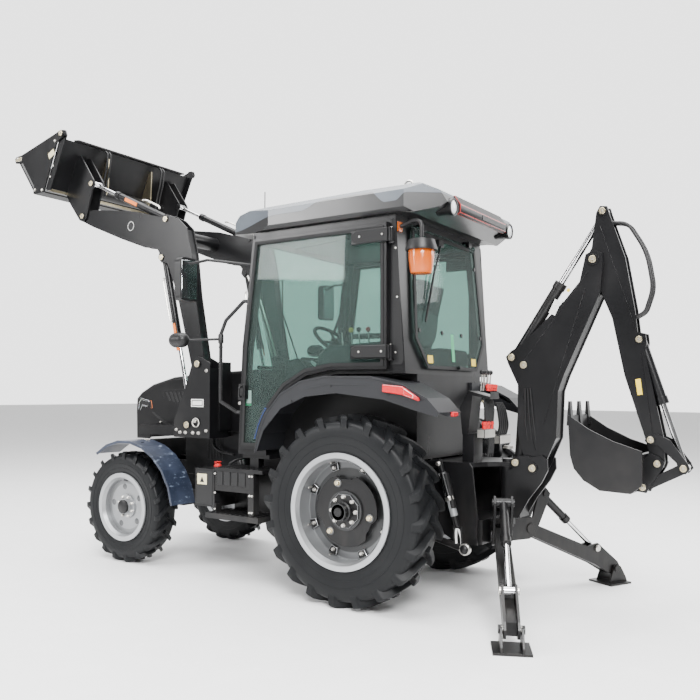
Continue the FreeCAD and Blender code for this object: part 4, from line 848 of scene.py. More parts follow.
class LOADER_OT_roof(bpy.types.Operator):
    """Roof shell, work lamps, red lamp panel, hatch and aerial."""
    bl_idname = "loader.roof"
    bl_label = "Roof"

    def execute(self, context):
        assign("cab_roof", "roof_two_tone")
        shape = Shape()
        for _, s in SIDES:
            y = s * 455
            shape.turned([(0, 50), (80, 50), (86, 54), (112, 55), (112, 46), (104, 44)], (-499, y, 2560),
                    (-0.9994, 0, -0.0357),
                         "black_plastic", 40)
            shape.turned([(0, 45), (3, 44), (8, 34), (11, 18), (12, 0)], (-601, y, 2556.4), (-0.9994, 0, -0.0357),
                    "lens_clear", 40)
            for k in range(3):
                shape.turned([(-1, 13 + 11 * k), (0, 14.5 + 11 * k), (1, 13 + 11 * k), (0, 11.5 + 11 * k)],
                        (-610 + 2.5 * k, y, 2556),
                             (-1, 0, 0), "rim_silver", 32, "closed")
            shape.turned([(-30, 44), (0, 46), (8, 46), (8, 38), (4, 36)], (1120, s * 430, 2590), (1, 0, -0.1),
                    "black_plastic", 32)
            shape.turned([(0, 37), (5, 30), (7, 0)], (1124, s * 430, 2590), (1, 0, -0.1), "lens_clear", 32)
        panel = [(-568, 2655), (-613, 2590), (-612, 2538), (-590, 2526), (-560, 2545), (-560, 2648)]
        shape.slab(panel, (-372, 372), "panel_red", "xz", 0.004)
        dark = [(-600, 2586), (-617, 2582), (-617, 2548), (-600, 2544)]
        shape.slab(dark, (-330, 40), "black_plastic", "xz", 0.003)
        shape.slab([(-300, 2700), (-60, 2742), (560, 2738), (640, 2690)], (-330, 330), "roof_two_tone", "xz", 0.012)
        shape.pipe([(1040, 330, 2660), (1040, 330, 2690), (1040, 330, 2900)], 4, "black_plastic")
        shape.bar((1040, 330, 2655), (1040, 330, 2700), 14, "black_plastic")
        for s in (-1, 1):
            shape.turned([(-8, 33), (0, 41), (8, 33), (0, 25)], (-295, s * 480, 2726), (0, 1, 0), "zinc", 32,
                    "closed")
        shape.make("roof_lamps", ROOT)

        shape = Shape()
        for _, s in SIDES:
            red = [(-300, 1388), (-300, 1434), (-440, 1423), (-556, 1352), (-556, 1334), (-440, 1370)]
            white = [(-455, 1409), (-520, 1372), (-520, 1350), (-455, 1370)]
            shape.slab(red, span(s, 785.5, 806), "lens_red", "xz", 0.004)
            shape.slab(white, span(s, 800, 808.5), "lens_clear", "xz", 0.002)
            shape.block((-700, span(s, 560, 620)[0], 1244), (-684, span(s, 560, 620)[1], 1267), "lens_red", 0.002)
            shape.block((-686, span(s, 553, 627)[0], 1240), (-682.6, span(s, 553, 627)[1], 1271), "black_plastic",
                    0.001)
        shape.make("tail_lamps", ROOT, ("lamps",))
        return {"FINISHED"}


class LOADER_OT_mirrors(bpy.types.Operator):
    """Mirror faces and heads, grab rail grips and the hanging beacon."""
    bl_idname = "loader.mirrors"
    bl_label = "Mirrors and beacon"

    def execute(self, context):
        assign("mirrors", "black_plastic")
        assign("beacon_lamp", "black_plastic")
        shape = Shape()
        for _, s in SIDES:
            low, high = span(s, 800, 950)
            face = [(low, 2050), (high, 2050), (high, 2320), (low + 14, 2334), (low, 2320)]
            shape.slab(face, (1286.5, 1289.7), "mirror_face", "yz", 0.001)
            shape.turned([(0, 20), (60, 20), (66, 16)], (1140, s * 700, 1735), (0, 0, 1), "black_plastic", 24)
            shape.turned([(0, 18), (36, 18)], (1290, s * 858, 2290), (1, 0, 0), "black_plastic", 24)
            for z in (1400, 1560, 1700):
                shape.turned([(0, 13.2), (2, 15.5), (10, 15.5), (12, 13.2)], (1140, s * 700, z), (0, 0, 1),
                        "soft_seal", 20)
        shape.make("mirror_faces", ROOT)
        shape = Shape()
        shape.turned([(0, 64), (20, 70), (90, 79), (140, 81), (146, 78)], (-490, 662, 2121), (0, 0, 1), "lens_amber",
                48)
        shape.turned([(-2, 60), (0, 66), (8, 67), (10, 62)], (-490, 662, 2122), (0, 0, 1), "lens_amber", 48)
        shape.turned([(0, 84), (0, 99), (14, 99), (52, 87), (64, 84), (70, 60), (70, 0)], (-490, 662, 2262),
                (0, 0, 1), "black_plastic", 48)
        shape.pipe([(-299, 610, 2440), (-345, 612, 2444), (-420, 640, 2462), (-490, 662, 2440), (-490, 662, 2330)],
                13, "black_plastic", 14)
        shape.block((-312, 585, 2405), (-299, 635, 2470), "black_plastic", 0.003)
        shape.make("beacon", ROOT, ("beacon_lamp",))
        return {"FINISHED"}


class LOADER_OT_fenders(bpy.types.Operator):
    """Rear fender trims and the scuffed front fenders."""
    bl_idname = "loader.fenders"
    bl_label = "Fenders"

    def execute(self, context):
        assign("rear_fenders", "fender_plastic")
        shape = Shape()
        crest = [(742, 970), (712, 1100), (642, 1240), (522, 1370), (352, 1458), (150, 1490), (-200, 1486),
                (-420, 1442), (-600, 1352)]
        for _, s in SIDES:
            low = [(x * 0.985 + 4, z - 13) for x, z in crest]
            shape.slab(crest + low[::-1], span(s, 785.3, 788.5), "fender_plastic", "xz", 0.001)
            blue = [(748, 1058), (736, 1058), (706, 1150), (668, 1226), (640, 1268), (650, 1272), (682, 1228),
                    (720, 1152)]
            shape.slab(blue, span(s, 780, 789.5), "film_edge_blue", "xz", 0.001)
            for x, z in ((620, 1150), (420, 1300), (100, 1400), (-330, 1350)):
                shape.nut((x, s * 785, z + 22), (0, s, 0), 12, 5, "black_plastic", False)
            shape.slab([(300, 1400), (306, 1408), (120, 1438), (-190, 1432), (-190, 1424), (118, 1430)],
                    span(s, 785.3, 787.3), "fender_plastic")
        shape.make("fender_trim", ROOT)
        for name, s in SIDES:
            assign("front_%s_fender" % name, "navy_film")
            assign(name + "_knuckle", "machine_paint")
            shape = Shape()
            for x, z in ((2092, 982), (2112, 983)):
                for y in (520, 545):
                    shape.nut((x, s * y, z), (0, 0, 1), 13, 6, "zinc")
            shape.pipe([(2100, s * 494, 905), (2085, s * 540, 930), (2050, s * 600, 962), (2040, s * 650, 966)], 8,
                    "machine_paint")
            shape.nut((2100, s * 494, 905), (0, s, 0), 17, 8, "zinc")
            shape.bar((2200, s * 462, 383), (2200, s * 462, 509), 30, "machine_paint")
            shape.make("front_%s_fender_stay" % name, name + "_knuckle")
        return {"FINISHED"}


def ellipse_pad(name, low, high, crown, body, finish):
    """A crowned, piped cushion between two corners in mm."""
    mesh = bmesh.new()
    bmesh.ops.create_cube(mesh, size=2)
    bmesh.ops.subdivide_edges(mesh, edges=mesh.edges[:], cuts=7, use_grid_fill=True)
    mid = [(a + b) / 2 for a, b in zip(low, high)]
    half = [(b - a) / 2 for a, b in zip(low, high)]
    for v in mesh.verts:
        x, y, z = v.co
        u = [x, y, z]
        corner = [c * math.sqrt(max(0, 1 - 0.22 * (u[(i + 1) % 3] ** 2 + u[(i + 2) % 3] ** 2))) for i,
                c in enumerate(u)]
        channel = 0.02 * math.cos(y * 9.4) ** 8
        k = 1 + crown * (1 - x * x) * (1 - y * y) if abs(z) > 0.99 else 1
        v.co = at(mid[0] + half[0] * corner[0], mid[1] + half[1] * corner[1],
                mid[2] + half[2] * corner[2] * (k - channel) / (1 + crown))
    data = bpy.data.meshes.new(name)
    for f in mesh.faces:
        f.smooth = True
    mesh.to_mesh(data)
    mesh.free()
    data.materials.append(M[finish])
    piece = bpy.data.objects.new(name, data)
    bpy.context.scene.collection.objects.link(piece)
    modifier = piece.modifiers.new("smooth", "SUBSURF")
    modifier.levels = modifier.render_levels = 1
    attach(piece, body)
    return piece


class LOADER_OT_interior(bpy.types.Operator):
    """Seat, console, wheel, levers and pedals inside the cab."""
    bl_idname = "loader.interior"
    bl_label = "Cab interior"

    def execute(self, context):
        seat = ellipse_pad("seat_cushion", (-60, -235, 1590), (425, 235, 1695), 0.12, ROOT, "seat_cloth")
        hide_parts("operator_seat")
        ellipse_pad("seat_back", (-175, -228, 1690), (-45, 228, 2180), 0.06, ROOT, "seat_cloth")
        ellipse_pad("seat_top_pad", (-185, -120, 2040), (-70, 120, 2188), 0.05, ROOT, "seat_cloth")
        for y in (-280, 280):
            ellipse_pad("arm_rest_%s" % ("left" if y > 0 else "right"), (10, y - 30, 1758), (298, y + 30, 1800), 0.1,
                    ROOT, "seat_cloth")
        assign("dashboard", "cab_trim")
        shape = Shape()
        shape.slab([(0, 1533), (320, 1533), (320, 1568), (260, 1592), (40, 1592), (0, 1568)], (-175, 175), "cab_trim",
                "xz", 0.006)
        shape.slab([(-190, 2150), (-215, 2140), (-100, 1640), (-85, 1600), (-60, 1600)], (-200, 200), "cab_trim",
                "xz", 0.006)
        for s in (-1, 1):
            shape.pipe([(-70, s * 246, 1640), (-66, s * 248, 1700), (-20, s * 272, 1770), (60, s * 280, 1770)], 11,
                    "cab_trim")
            low, high = span(s, 330, 545)
            shape.slab([(-240, 1512), (420, 1512), (380, 1640), (300, 1700), (-120, 1720), (-240, 1700)], (low, high),
                    "cab_trim", "xz", 0.012)
            for k in range(4):
                x = 60 + 70 * k
                y = s * (380 + 12 * (k % 2))
                shape.bar((x, y, 1690), (x + 12, y, 1810), 5, "zinc", 12)
                shape.turned([(0, 8), (10, 17), (26, 17), (34, 9), (36, 0)], (x + 11, y, 1800), (0.1, 0, 1),
                             ("coupler_red", "black_plastic", "blank_yellow", "black_plastic")[k], 20)
        shape.slab([(702, 1524), (694, 1536), (790, 1650), (806, 1642)], (-180, 180), "black_plastic", "xz", 0.003)
        for y in (-95, 0, 95):
            shape.turned([(0, 40), (5, 40), (6, 36), (3, 34), (3, 0)], (742, y, 1596), (-0.76, 0, 0.65), "cab_trim",
                    32)
            shape.turned([(0, 34), (1.5, 33), (1.5, 0)], (740, y, 1598), (-0.76, 0, 0.65), "lens_clear", 32)
        shape.turned([(0, 46), (16, 44), (26, 30), (28, 0)], (600, 0, 1760), (-0.62, 0, 0.78), "black_plastic", 32)
        for k in range(3):
            a = math.radians(90 + 120 * k)
            end = (600 + 182 * math.cos(a) * 0.78, 182 * math.sin(a), 1760 + 182 * math.cos(a) * 0.62)
            shape.bar((600, 0, 1763), end, 9, "cab_trim", 12)
        for y, z in ((-170, 1080), (-110, 1080), (150, 1080)):
            shape.slab([(905, z), (893, z + 4), (866, z - 66), (878, z - 70)], (y - 28, y + 28), "zinc", "xz", 0.003)
            shape.bar((930, y, z + 110), (890, y, z - 20), 7, "black_plastic", 12)
        shape.block((792, -580, 966), (975, 580, 974), "soft_seal", 0.002)
        for k in range(7):
            shape.block((800 + 24 * k, -470, 974), (812 + 24 * k, 470, 977), "soft_seal", 0.001)
        shape.make("cab_controls", ROOT)
        return {"FINISHED"}


class LOADER_OT_chassis(bpy.types.Operator):
    """Gearbox ribs, axle bolts, filters, tank steps, battery box and pipes."""
    bl_idname = "loader.chassis"
    bl_label = "Chassis and steps"

    def execute(self, context):
        for node in ("chassis_frame", "engine_block", "axle_housings", "side_steps", "hitch_links", "loader_masts"):
            assign(node, "machine_paint")
        shape = Shape()
        for _, s in SIDES:
            for k in range(5):
                x = -230 + 160 * k
                shape.slab([(x, 520), (x + 14, 520), (x + 14, 880), (x, 880)], span(s, 189.5, 200), "machine_paint",
                        "xz", 0.002)
            for k in range(14):
                x = -270 + 104 * k if k < 9 else 1160 + 90 * (k - 9)
                shape.nut((x, s * 190, 505 if k < 9 else 580), (0, s, 0), 17, 10, "zinc")
            shape.turned([(0, 128), (10, 132), (16, 132), (20, 126)], (0, s * 440, 620), (0, s, 0), "machine_paint",
                    40)
            for k in range(10):
                a = math.radians(36 * k)
                shape.nut((108 * math.sin(a), s * 498, 620 + 108 * math.cos(a)), (0, s, 0), 16, 4, "zinc")
            shape.turned([(0, 95), (30, 95), (50, 88), (60, 86)], (0, s * 190.5, 620), (0, s, 0), "machine_paint", 40)
            for k in range(8):
                a = math.radians(22.5 + 45 * k)
                shape.nut((92 * math.sin(a), s * 206, 620 + 92 * math.cos(a)), (0, s, 0), 15, 9, "zinc")
            shape.turned([(0, 44), (8, 46), (150, 46), (158, 42), (160, 0)], (1290, s * 245, 700), (0.2, 0, 1),
                    "machine_paint", 32)
            shape.pipe([(1250, s * 200, 640), (1240, s * 300, 640), (1100, s * 330, 600), (700, s * 330, 590),
                    (300, s * 300, 590),
                        (150, s * 240, 640)], 9, "hose_black")
            shape.pipe([(1250, s * 210, 680), (1230, s * 320, 690), (1120, s * 345, 760), (760, s * 345, 780),
                    (400, s * 260, 800)],
                       7, "zinc")
            for x in (1500, 1560, 1640, 1700):
                shape.nut((x, s * 320, 1061), (0, 0, 1), 18, 10, "zinc")
                shape.nut((x, s * 557, 1060), (0, s, 0), 22, 12, "zinc")
            for x, z in ((1420, 1540), (1420, 1080), (1740, 1080)):
                shape.nut((x, s * 557, z), (0, s, 0), 20, 11, "zinc")
            shape.block((1450, span(s, 557, 558.5)[0], 1262), (1580, span(s, 557, 558.5)[1], 1322), "blank_white",
                    0.0)
            shape.loop([(1458, 1270), (1572, 1270), (1572, 1314), (1458, 1314)], [(1464, 1276), (1566, 1276), (1566,
                    1308), (1464, 1308)],
                       span(s, 558.4, 559.2), "black_plastic", "xz")
            shape.turned([(-5, 34), (0, 39), (5, 34), (0, 29)], (1524, s * 566, 1140), (0.25, s, 0), "zinc", 32,
                    "closed")
            shape.bar((1524, s * 557, 1152), (1524, s * 580, 1152), 14, "zinc")
            for k in range(9):
                shape.turned([(0, 10), (1.5, 13), (8, 13), (9.5, 10)], (1452 + 18 * k, s * 500, 1612 - 1 * k),
                        (1, 0, -0.05), "soft_seal", 14)
            for x, z in ((1510, 1594), (1620, 1120)):
                shape.pin_head(x, z, s * 569, s, 26)
            shield = [(1180, 700), (1330, 690), (1960, 690), (1990, 760), (1990, 1056), (1180, 1056)]
            shape.slab(shield, span(s, 203, 208), "machine_paint", "xz", 0.002)
            for k in range(6):
                shape.block((1560 + 32 * k, span(s, 208, 211)[0], 820), (1576 + 32 * k, span(s, 208, 211)[1], 1010),
                        "black_plastic", 0.002)
            shape.pipe([(1640, s * 244, 1000), (1620, s * 262, 940), (1540, s * 270, 900), (1400, s * 262, 880)], 11,
                    "hose_black")
        shape.make("chassis_bolts", ROOT)

        shape = Shape()
        for _, s in SIDES:
            shape.slab([(1215, 548), (1375, 548), (1375, 792), (1215, 792)], span(s, 700, 703), "black_plastic", "xz",
                    0.004)
            shape.slab([(1270, 692), (1366, 692), (1366, 770), (1270, 770)], span(s, 703, 704.2), "blank_cream", "xz",
                    0.0)
            shape.slab([(1296, 708), (1340, 708), (1318, 752)], span(s, 704, 704.8), "black_plastic", "xz", 0.0)
            shape.turned([(0, 26), (6, 28), (20, 28), (24, 22), (34, 20), (34, 0)], (1258, s * 600, 810), (0, 0, 1),
                    "coupler_red", 28)
            shape.bar((1258, s * 600, 810), (1258, s * 600, 860), 7, "coupler_red", 12)
            shape.block((1246, span(s, 570, 630)[0], 846), (1270, span(s, 570, 630)[1], 858), "coupler_red", 0.004)
            for k in range(8):
                x = 790 + 50 * k
                shape.block((x, span(s, 470, 690)[0], 826), (x + 26, span(s, 470, 690)[1], 831), "machine_paint",
                        0.002)
            for k in range(10):
                x = 776 + 48 * k
                shape.block((x, span(s, 490, 716)[0], 492), (x + 22, span(s, 490, 716)[1], 498), "machine_paint",
                        0.002)
            for k in range(4):
                x = 900 + 72 * k
                shape.slab([(x, 700), (x + 58, 700), (x + 58, 800), (x, 800)], span(s, 695, 700), "machine_paint",
                        "xz", 0.003)
            for x in (835, 858, 1190):
                for z in (520, 640, 780):
                    shape.nut((x, s * 700, z), (0, s, 0), 13, 7, "zinc")
            shape.slab([(1190, 500), (1192, 640), (1212, 640), (1212, 500)], span(s, 640, 705), "machine_paint", "xz",
                    0.003)
            shape.turned([(0, 44), (4, 47), (200, 47), (204, 44)], (970, s * 400, 560), (1, 0, 0), "machine_paint",
                    36)
            shape.pipe([(1120, s * 450, 880), (1150, s * 520, 870), (1180, s * 560, 840), (1180, s * 560, 812)], 8,
                    "hose_black")
        shape.make("step_trim", ROOT)

        shape = Shape()
        for _, s in SIDES:
            shape.bar((-490, s * 350.3, 864), (-545, s * 351.2, 700), 27, "chromed", 24)
            shape.bar((-545, s * 351, 700), (-580, s * 351.6, 590), 24, "rim_silver", 24)
            shape.turned([(0, 30), (4, 32), (24, 32), (28, 30)], (-540, s * 351, 716), (-0.3, 0, -0.95), "zinc", 6)
            shape.pipe([(-596, s * 352, 530), (-628, s * 352, 470), (-634, s * 352, 400)], 8, "blank_white")
            shape.pipe([(-596, s * 352, 530), (-590, s * 352, 470), (-596, s * 352, 400)], 8, "blank_white")
            shape.turned([(-16, 34), (-12, 38), (12, 38), (16, 34)], (-660, s * 360, 385), (0, 1, 0), "zinc", 28)
            shape.nut((-470, s * 374, 925), (0, s, 0), 26, 14, "zinc")
            shape.nut((-215, s * 240, 850), (0, s, 0), 30, 16, "zinc")
        shape.turned([(0, 60), (30, 60), (34, 50), (60, 30), (140, 22), (142, 0)], (-340, 0, 700), (-1, 0, 0),
                "machine_paint", 32)
        for k in range(6):
            a = math.radians(60 * k)
            shape.nut((-340, 90 * math.sin(a), 700 + 90 * math.cos(a)), (-1, 0, 0), 16, 10, "zinc")
        shape.make("hitch_trim", ROOT)
        return {"FINISHED"}


# Front loader

class LOADER_OT_arms(bpy.types.Operator):
    """Loader arm pins, oil pipes and labels, with pins, pipes and labels on the cylinder barrels."""
    bl_idname = "loader.arms"
    bl_label = "Loader arms"

    def execute(self, context):
        assign("loader_arms", "body_paint")
        for node in ("lift_cylinder", "tilt_cylinder"):
            assign(node + "_barrels", "machine_paint")
            assign(node + "_rods", "chromed")
        shape = Shape()
        line_radius = 9.0
        for _, s in SIDES:
            shape.pipe([(1560, s * 455, 1700), (1640, s * 452, 1950), (1760, s * 452, 2260), (1850, s * 450, 2430)],
                    line_radius, "zinc")
            shape.pipe([(1580, s * 435, 1690), (1662, s * 432, 1940), (1782, s * 432, 2250), (1868, s * 430, 2420)],
                    line_radius, "zinc")
            shape.turned([(0, 34), (2, 34), (2, 0)], (2300, s * 539.5, 2745), (0, s, 0), "machine_paint", 32)
            shape.turned([(0, 36), (1.5, 38), (3, 36), (1.5, 34)], (2300, s * 540.5, 2745), (0, s, 0), "blank_white",
                    32, "closed")
        shape.make("arm_pins", "loader_arms")
        for node, ends in (("lift_barrels", ((1932, 2454), (1620, 1120))), ("tilt_barrels", ((1888, 2755), (2783,
                3161)))):
            shape = Shape()
            (x0, z0), (x1, z1) = ends
            length = math.hypot(x1 - x0, z1 - z0)
            ux, uz = (x1 - x0) / length, (z1 - z0) / length
            for _, s in SIDES:
                def along(d, y=500.0, off=0.0):
                    return (x0 + ux * d - uz * off, s * y, z0 + uz * d + ux * off)
                shape.pin_head(x0, z0, s * 548, s, 22)
                side = 529
                shape.pipe([along(150, 500, 50), along(170, 500, 64), along(length * 0.34, 500, 64),
                        along(length * 0.38, 500, 50)], 8, "zinc")
                tag = [along(length * 0.40, 500, 14), along(length * 0.56, 500, 14), along(length * 0.56, 500, -14),
                        along(length * 0.40, 500, -14)]
                shape.slab([(p[0], p[2]) for p in tag], span(s, side - 14, side + 1), "label_orange", "xz", 0.0)
            shape.make(node + "_trim", node)
        return {"FINISHED"}


class LOADER_OT_bucket(bpy.types.Operator):
    """Bucket and clam edges, wear strips, bolts, pins and stickers."""
    bl_idname = "loader.bucket"
    bl_label = "Loader bucket"

    def execute(self, context):
        assign("loader_bucket_back", "digging_paint")
        assign("loader_bucket_clam", "digging_paint")
        shape = Shape()
        for _, s in SIDES:
            for x, z in ((2902, 2894), (2783, 3161)):
                shape.pin_head(x, z, s * 564.5, s, 22)
            for x, z in ((3050, 3310), (3092, 3222)):
                shape.nut((x, s * 750, z), (0, s, 0), 18, 4, "zinc", False)
            for k in range(2):
                y = s * (300 + 34 * k)
                shape.pipe([(2925, y, 3120), (2905, y, 3230), (2862, y, 3350), (2842, y, 3480), (2880, y, 3512)], 9,
                        "hose_black")
            shape.slab([(2940, 3180), (3000, 3120), (3092, 3160), (2952, 3470), (2925, 3470)], span(s, 246, 258),
                    "digging_paint")
        cut = [(3121, 3104), (3133, 3109), (3122, 3132), (3110, 3127)]
        shape.slab(cut, (-738, 738), "worn_steel", "xz", 0.001)
        shape.make("bucket_pins", "loader_bucket")
        shape = Shape()
        for _, s in SIDES:
            shape.pin_head(2905, 3552, s * 781, s, 22)
            for x, z in ((3000, 3510), (3280, 3130), (3180, 3116), (3530, 3440)):
                shape.nut((x, s * 767.5, z), (0, s, 0), 22, 8, "zinc")
            shape.slab([(3000, 3400), (3075, 3365), (3095, 3410), (3020, 3445)], span(s, 767, 768.6), "blank_cream",
                    "xz", 0.0)
            lip = [(3466, 3448), (3548, 3446), (3562, 3430), (3548, 3412), (3470, 3410)]
            shape.slab(lip, span(s, 767, 772), "worn_steel", "xz", 0.002)
        for k in range(11):
            y = -700 + 140 * k
            shape.nut((3516, y, 3423), (0.8, 0, -0.6), 18, 5, "worn_steel", False)
        shape.make("clam_trim", "loader_clam")
        return {"FINISHED"}


# Backhoe

class LOADER_OT_hoe(bpy.types.Operator):
    """Backhoe pins, oil pipes, weld seams, labels and polished rods."""
    bl_idname = "loader.hoe"
    bl_label = "Backhoe"

    def execute(self, context):
        for node in ("backhoe_frame", "swing_post"):
            assign(node, "machine_paint")
        for node in ("boom", "dipper"):
            assign(node, "body_paint")
        for node in ("guide_link", "push_link"):
            assign(node, "machine_paint")
        assign("hoe_bucket", "digging_paint")
        for name in ("boom_cylinder", "dipper_cylinder", "curl_cylinder"):
            assign(name + "_barrel", "machine_paint")
            assign(name + "_rod", "chromed")
        for name, _ in SIDES:
            assign(name + "_stabilizer_barrel", "machine_paint")
            assign(name + "_stabilizer_rod", "chromed")
            assign(name + "_stabilizer", "machine_paint")

        def weld(shape, a, b, y, side):
            shape.bar((a[0], y, a[1]), (b[0], y, b[1]), 2.2, "body_paint", 6, 0)

        shape = Shape()
        for s in (-1, 1):
            for x, z, y in ((-845, 1620, 79), (-1365, 2215, 79), (-925, 1570, 70)):
                shape.pin_head(x, z, s * y, s, 23)
            for k in range(3):
                d = -14 + 28 * k
                shape.pipe([(-1000 + d, s * 62, 1060), (-985 + d, s * 74, 1200), (-965 + d * 0.6, s * 75, 1420)], 6.5,
                        "hose_black")
            for a, b in (((-1010, 1020), (-890, 1500)), ((-900, 1560), (-1340, 2150)),
                    ((-1060, 1180), (-1320, 2040))):
                weld(shape, a, b, s * 70.6, s)
            tag = [(-1130, 1880), (-1090, 1900), (-1130, 1985), (-1170, 1965)]
            shape.slab(tag, span(s, 70, 71), "blank_white", "xz", 0.0)
            dot = (-1215, s * 70, 2035)
            shape.turned([(0, 12), (1, 12), (1, 0)], dot, (0, s, 0), "blank_yellow", 20)
        shape.make("boom_trim", "boom")

        shape = Shape()
        for s in (-1, 1):
            for x, z, y in ((-1415, 2510, 55), (-1640, 1715, 55), (-1715, 1115, 66.2), (-1755, 975, 70.7)):
                shape.pin_head(x, z, s * y, s, 20)
            for a, b in (((-1400, 2420), (-1620, 1780)), ((-1650, 1640), (-1735, 1080))):
                weld(shape, a, b, s * 45.6, s)
            shape.slab([(-1650, 1480), (-1620, 1476), (-1634, 1380), (-1664, 1384)], span(s, 45, 46), "blank_yellow",
                    "xz", 0.0)
            shape.pipe([(-1440, s * 20, 2440), (-1560, s * 24, 2425), (-1672, s * 26, 2240), (-1712, s * 26, 2020),
                    (-1668, s * 22, 1880),
                        (-1612, s * 22, 1850)], 11, "hose_black")
        shape.make("dipper_trim", "dipper")

        shape = Shape()
        for s in (-1, 1):
            shape.pin_head(-1900, 955, s * 66.2, s, 20)
            shape.pin_head(-1675, 830, s * 70.7, s, 20)
        shape.make("push_link_pins", "push_link")

        shape = Shape()
        for s in (-1, 1):
            for x, z, y in ((-1000, 905, 97.5), (-885, 935, 95.5)):
                shape.pin_head(x, z, s * y, s, 23)
        shape.nut((-800, 0.1, 1020), (0, 0, 1), 60, 18, "zinc")
        shape.make("swing_post_pins", "swing_post")

        shape = Shape()
        for k, y in enumerate((70, 96, 122, 148, 174, 194)):
            x = -690 + 6 * (k % 2)
            shape.bar((x, y, 1400), (x - 8, y, 1510), 5, "zinc", 12)
            shape.turned([(0, 7), (8, 15), (22, 15), (30, 8), (32, 0)], (x - 8, y, 1506), (0, 0, 1), "black_plastic",
                    20)
        for k in range(4):
            y = 72 + 36 * k
            shape.turned([(0, 14), (16, 14), (18, 17), (40, 17), (44, 12), (46, 0)], (-730, y, 1400), (0, 0, 1),
                    "coupler_red", 24)
        shape.slab([(62, 1352), (198, 1352), (198, 1394), (62, 1394)], (-753.5, -752), "black_plastic", "yz", 0.0)
        for k in range(7):
            y = 60 + 22 * k
            low = 960 + 26 * (k % 3)
            shape.pipe([(-700, y, 1352), (-716, y, 1290), (-708 + 2 * k, y - 8 * k, 1180), (-700, 20 + 10 * k, 1060),
                    (-690, 20 + 12 * k, low)],
                       9, "hose_black")
            shape.turned([(0, 12), (14, 12), (16, 9), (22, 9)], (-700, y, 1322), (0, 0, 1), "yellow_zinc", 6)
        for k in range(5):
            y = -60 - 34 * k
            shape.pipe([(-690, y, 1080), (-712, y - 6, 1160), (-704, y * 0.9, 1260), (-690, y * 0.7, 1320)], 9,
                    "hose_black")
        shape.block((-722, 40, 1090), (-668, 214, 1150), "machine_paint", 0.004)
        shape.block((-722, -235, 1040), (-668, -40, 1100), "machine_paint", 0.004)
        for k in range(3):
            shape.turned([(0, 16), (24, 16), (28, 20), (44, 20), (48, 14), (48, 0)], (-704, 70 + 52 * k, 1150),
                    (0, 0, 1), "coupler_red", 24)
        shape.make("control_levers", ROOT)

        for name, s in SIDES:
            shape = Shape()
            across = Vector((-0.4478, s * 0.8942, 0))
            normal = Vector((across.y, -across.x, 0)).normalized()

            def leg(u, z, off=0.0):
                p = Vector((-840, s * 200, z)) + across * u + normal * off
                return (p.x, p.y, p.z)
            for u, z in ((649, 275), (833, 112)):
                for side in (-1, 1):
                    shape.turned([(0, 24), (10, 24), (14, 19), (14, 0)], leg(u, z, side * 46), tuple(normal * side),
                            "zinc", 24)
            shape.make(name + "_stabilizer_pins", name + "_stabilizer")
        return {"FINISHED"}


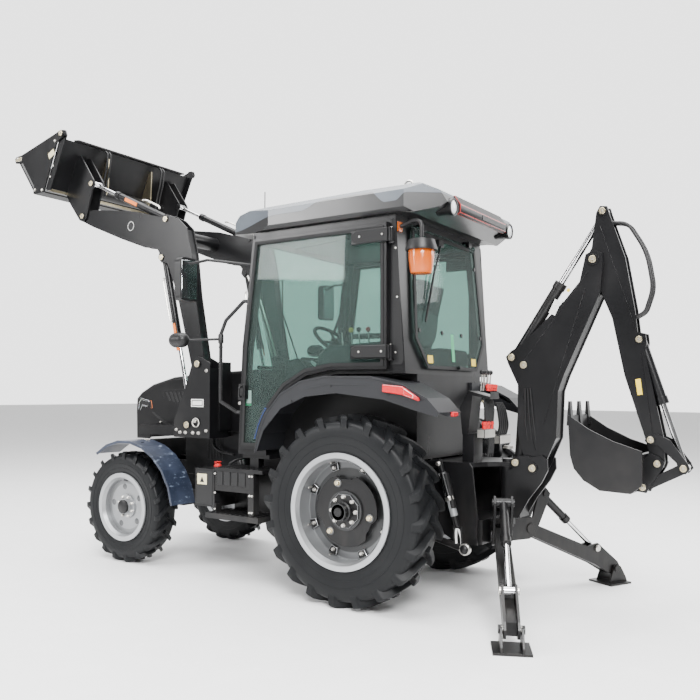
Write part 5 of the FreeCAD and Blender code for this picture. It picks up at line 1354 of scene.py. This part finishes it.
class LOADER_OT_stage(bpy.types.Operator):
    """Pale floor, soft studio light and the camera."""
    bl_idname = "loader.stage"
    bl_label = "Stage"

    def execute(self, context):
        mesh = bmesh.new()
        bmesh.ops.create_grid(mesh, x_segments=2, y_segments=2, size=60)
        data = bpy.data.meshes.new("floor")
        mesh.to_mesh(data)
        mesh.free()
        floor = bpy.data.objects.new("floor", data)
        context.scene.collection.objects.link(floor)
        data.materials.append(M["floor"])
        world = bpy.data.worlds.new("studio") if context.scene.world is None else context.scene.world
        context.scene.world = world
        world.use_nodes = True
        background = world.node_tree.nodes.get("Background") or world.node_tree.nodes.new("ShaderNodeBackground")
        nodes, links = world.node_tree.nodes, world.node_tree.links
        direction = nodes.new("ShaderNodeTexCoord")
        facing = nodes.new("ShaderNodeVectorMath")
        facing.operation = "DOT_PRODUCT"
        facing.inputs[1].default_value = (0.564, -0.826, 0.0)
        links.new(direction.outputs["Generated"], facing.inputs[0])
        share = nodes.new("ShaderNodeMapRange")
        share.inputs["From Min"].default_value = 0.2
        share.inputs["From Max"].default_value = 0.75
        share.inputs["To Min"].default_value = 0.20
        share.inputs["To Max"].default_value = 2.8
        links.new(facing.outputs["Value"], share.inputs["Value"])
        links.new(share.outputs["Result"], background.inputs["Strength"])
        background.inputs["Color"].default_value = (1.0, 1.0, 1.0, 1.0)
        lamps = (("key", (-6.5, 7.5, 7.5), 2300, 4.0), ("front", (6.0, 8.0, 5.0), 700, 3.0),
                ("top", (0.0, 0.5, 9.0), 2400, 9.0),
                 ("back", (-6.0, -6.0, 5.5), 400, 4.0))
        for name, place, power, size in lamps:
            light = bpy.data.lights.new(name, "AREA")
            light.energy = power
            light.size = size
            piece = bpy.data.objects.new(name, light)
            piece.location = place
            piece.rotation_euler = (Vector((-0.3, 0, 1.3)) - Vector(place)).to_track_quat("-Z", "Y").to_euler()
            context.scene.collection.objects.link(piece)
        yaw, pitch, roll = math.radians(-55.677), math.radians(-0.708), math.radians(0.420)
        forward = Vector((math.cos(pitch) * math.cos(yaw), math.cos(pitch) * math.sin(yaw), math.sin(pitch)))
        right = forward.cross(Vector((0, 0, 1))).normalized()
        up = right.cross(forward)
        tilted = right * math.cos(roll) + up * math.sin(roll)
        upright = up * math.cos(roll) - right * math.sin(roll)
        lens = bpy.data.cameras.new("camera")
        lens.lens = 40.66
        lens.sensor_width = 36.0
        lens.shift_x = 0.0149
        lens.shift_y = 0.0734
        camera = bpy.data.objects.new("camera", lens)
        place = Vector((REAR_AXLE - 2.835, 4.980, 1.388))
        rows = [[tilted[i], upright[i], -forward[i], place[i]] for i in range(3)] + [[0, 0, 0, 1]]
        camera.matrix_world = Matrix(rows)
        context.scene.collection.objects.link(camera)
        context.scene.camera = camera
        return {"FINISHED"}


class LOADER_PT_panel(bpy.types.Panel):
    """Every build step of the finish."""
    bl_idname = "LOADER_PT_panel"
    bl_label = "Backhoe Loader"
    bl_space_type = "VIEW_3D"
    bl_region_type = "UI"
    bl_category = "Loader"

    def draw(self, context):
        for settings in (context.scene.loader_sizes, context.scene.loader_colours):
            for name in settings.__annotations__:
                self.layout.prop(settings, name)
        for step in STEPS:
            self.layout.operator(step.bl_idname)


STEPS = (LOADER_OT_tyres, LOADER_OT_rims, LOADER_OT_hood, LOADER_OT_doors, LOADER_OT_cab, LOADER_OT_roof,
        LOADER_OT_mirrors,
         LOADER_OT_fenders, LOADER_OT_interior, LOADER_OT_chassis,
         LOADER_OT_arms, LOADER_OT_bucket, LOADER_OT_hoe, LOADER_OT_stage)
CLASSES = (LoaderSizes, LoaderColours) + STEPS + (LOADER_PT_panel,)


def register():
    for entry in CLASSES:
        bpy.utils.register_class(entry)
    bpy.types.Scene.loader_sizes = bpy.props.PointerProperty(type=LoaderSizes)
    bpy.types.Scene.loader_colours = bpy.props.PointerProperty(type=LoaderColours)


def unregister():
    del bpy.types.Scene.loader_colours
    del bpy.types.Scene.loader_sizes
    for entry in reversed(CLASSES):
        bpy.utils.unregister_class(entry)


def main():
    register()
    make_finishes(bpy.context.scene.loader_colours)
    for step in STEPS:
        family, name = step.bl_idname.split(".")
        getattr(getattr(bpy.ops, family), name)()


if __name__ == "__main__":
    main()
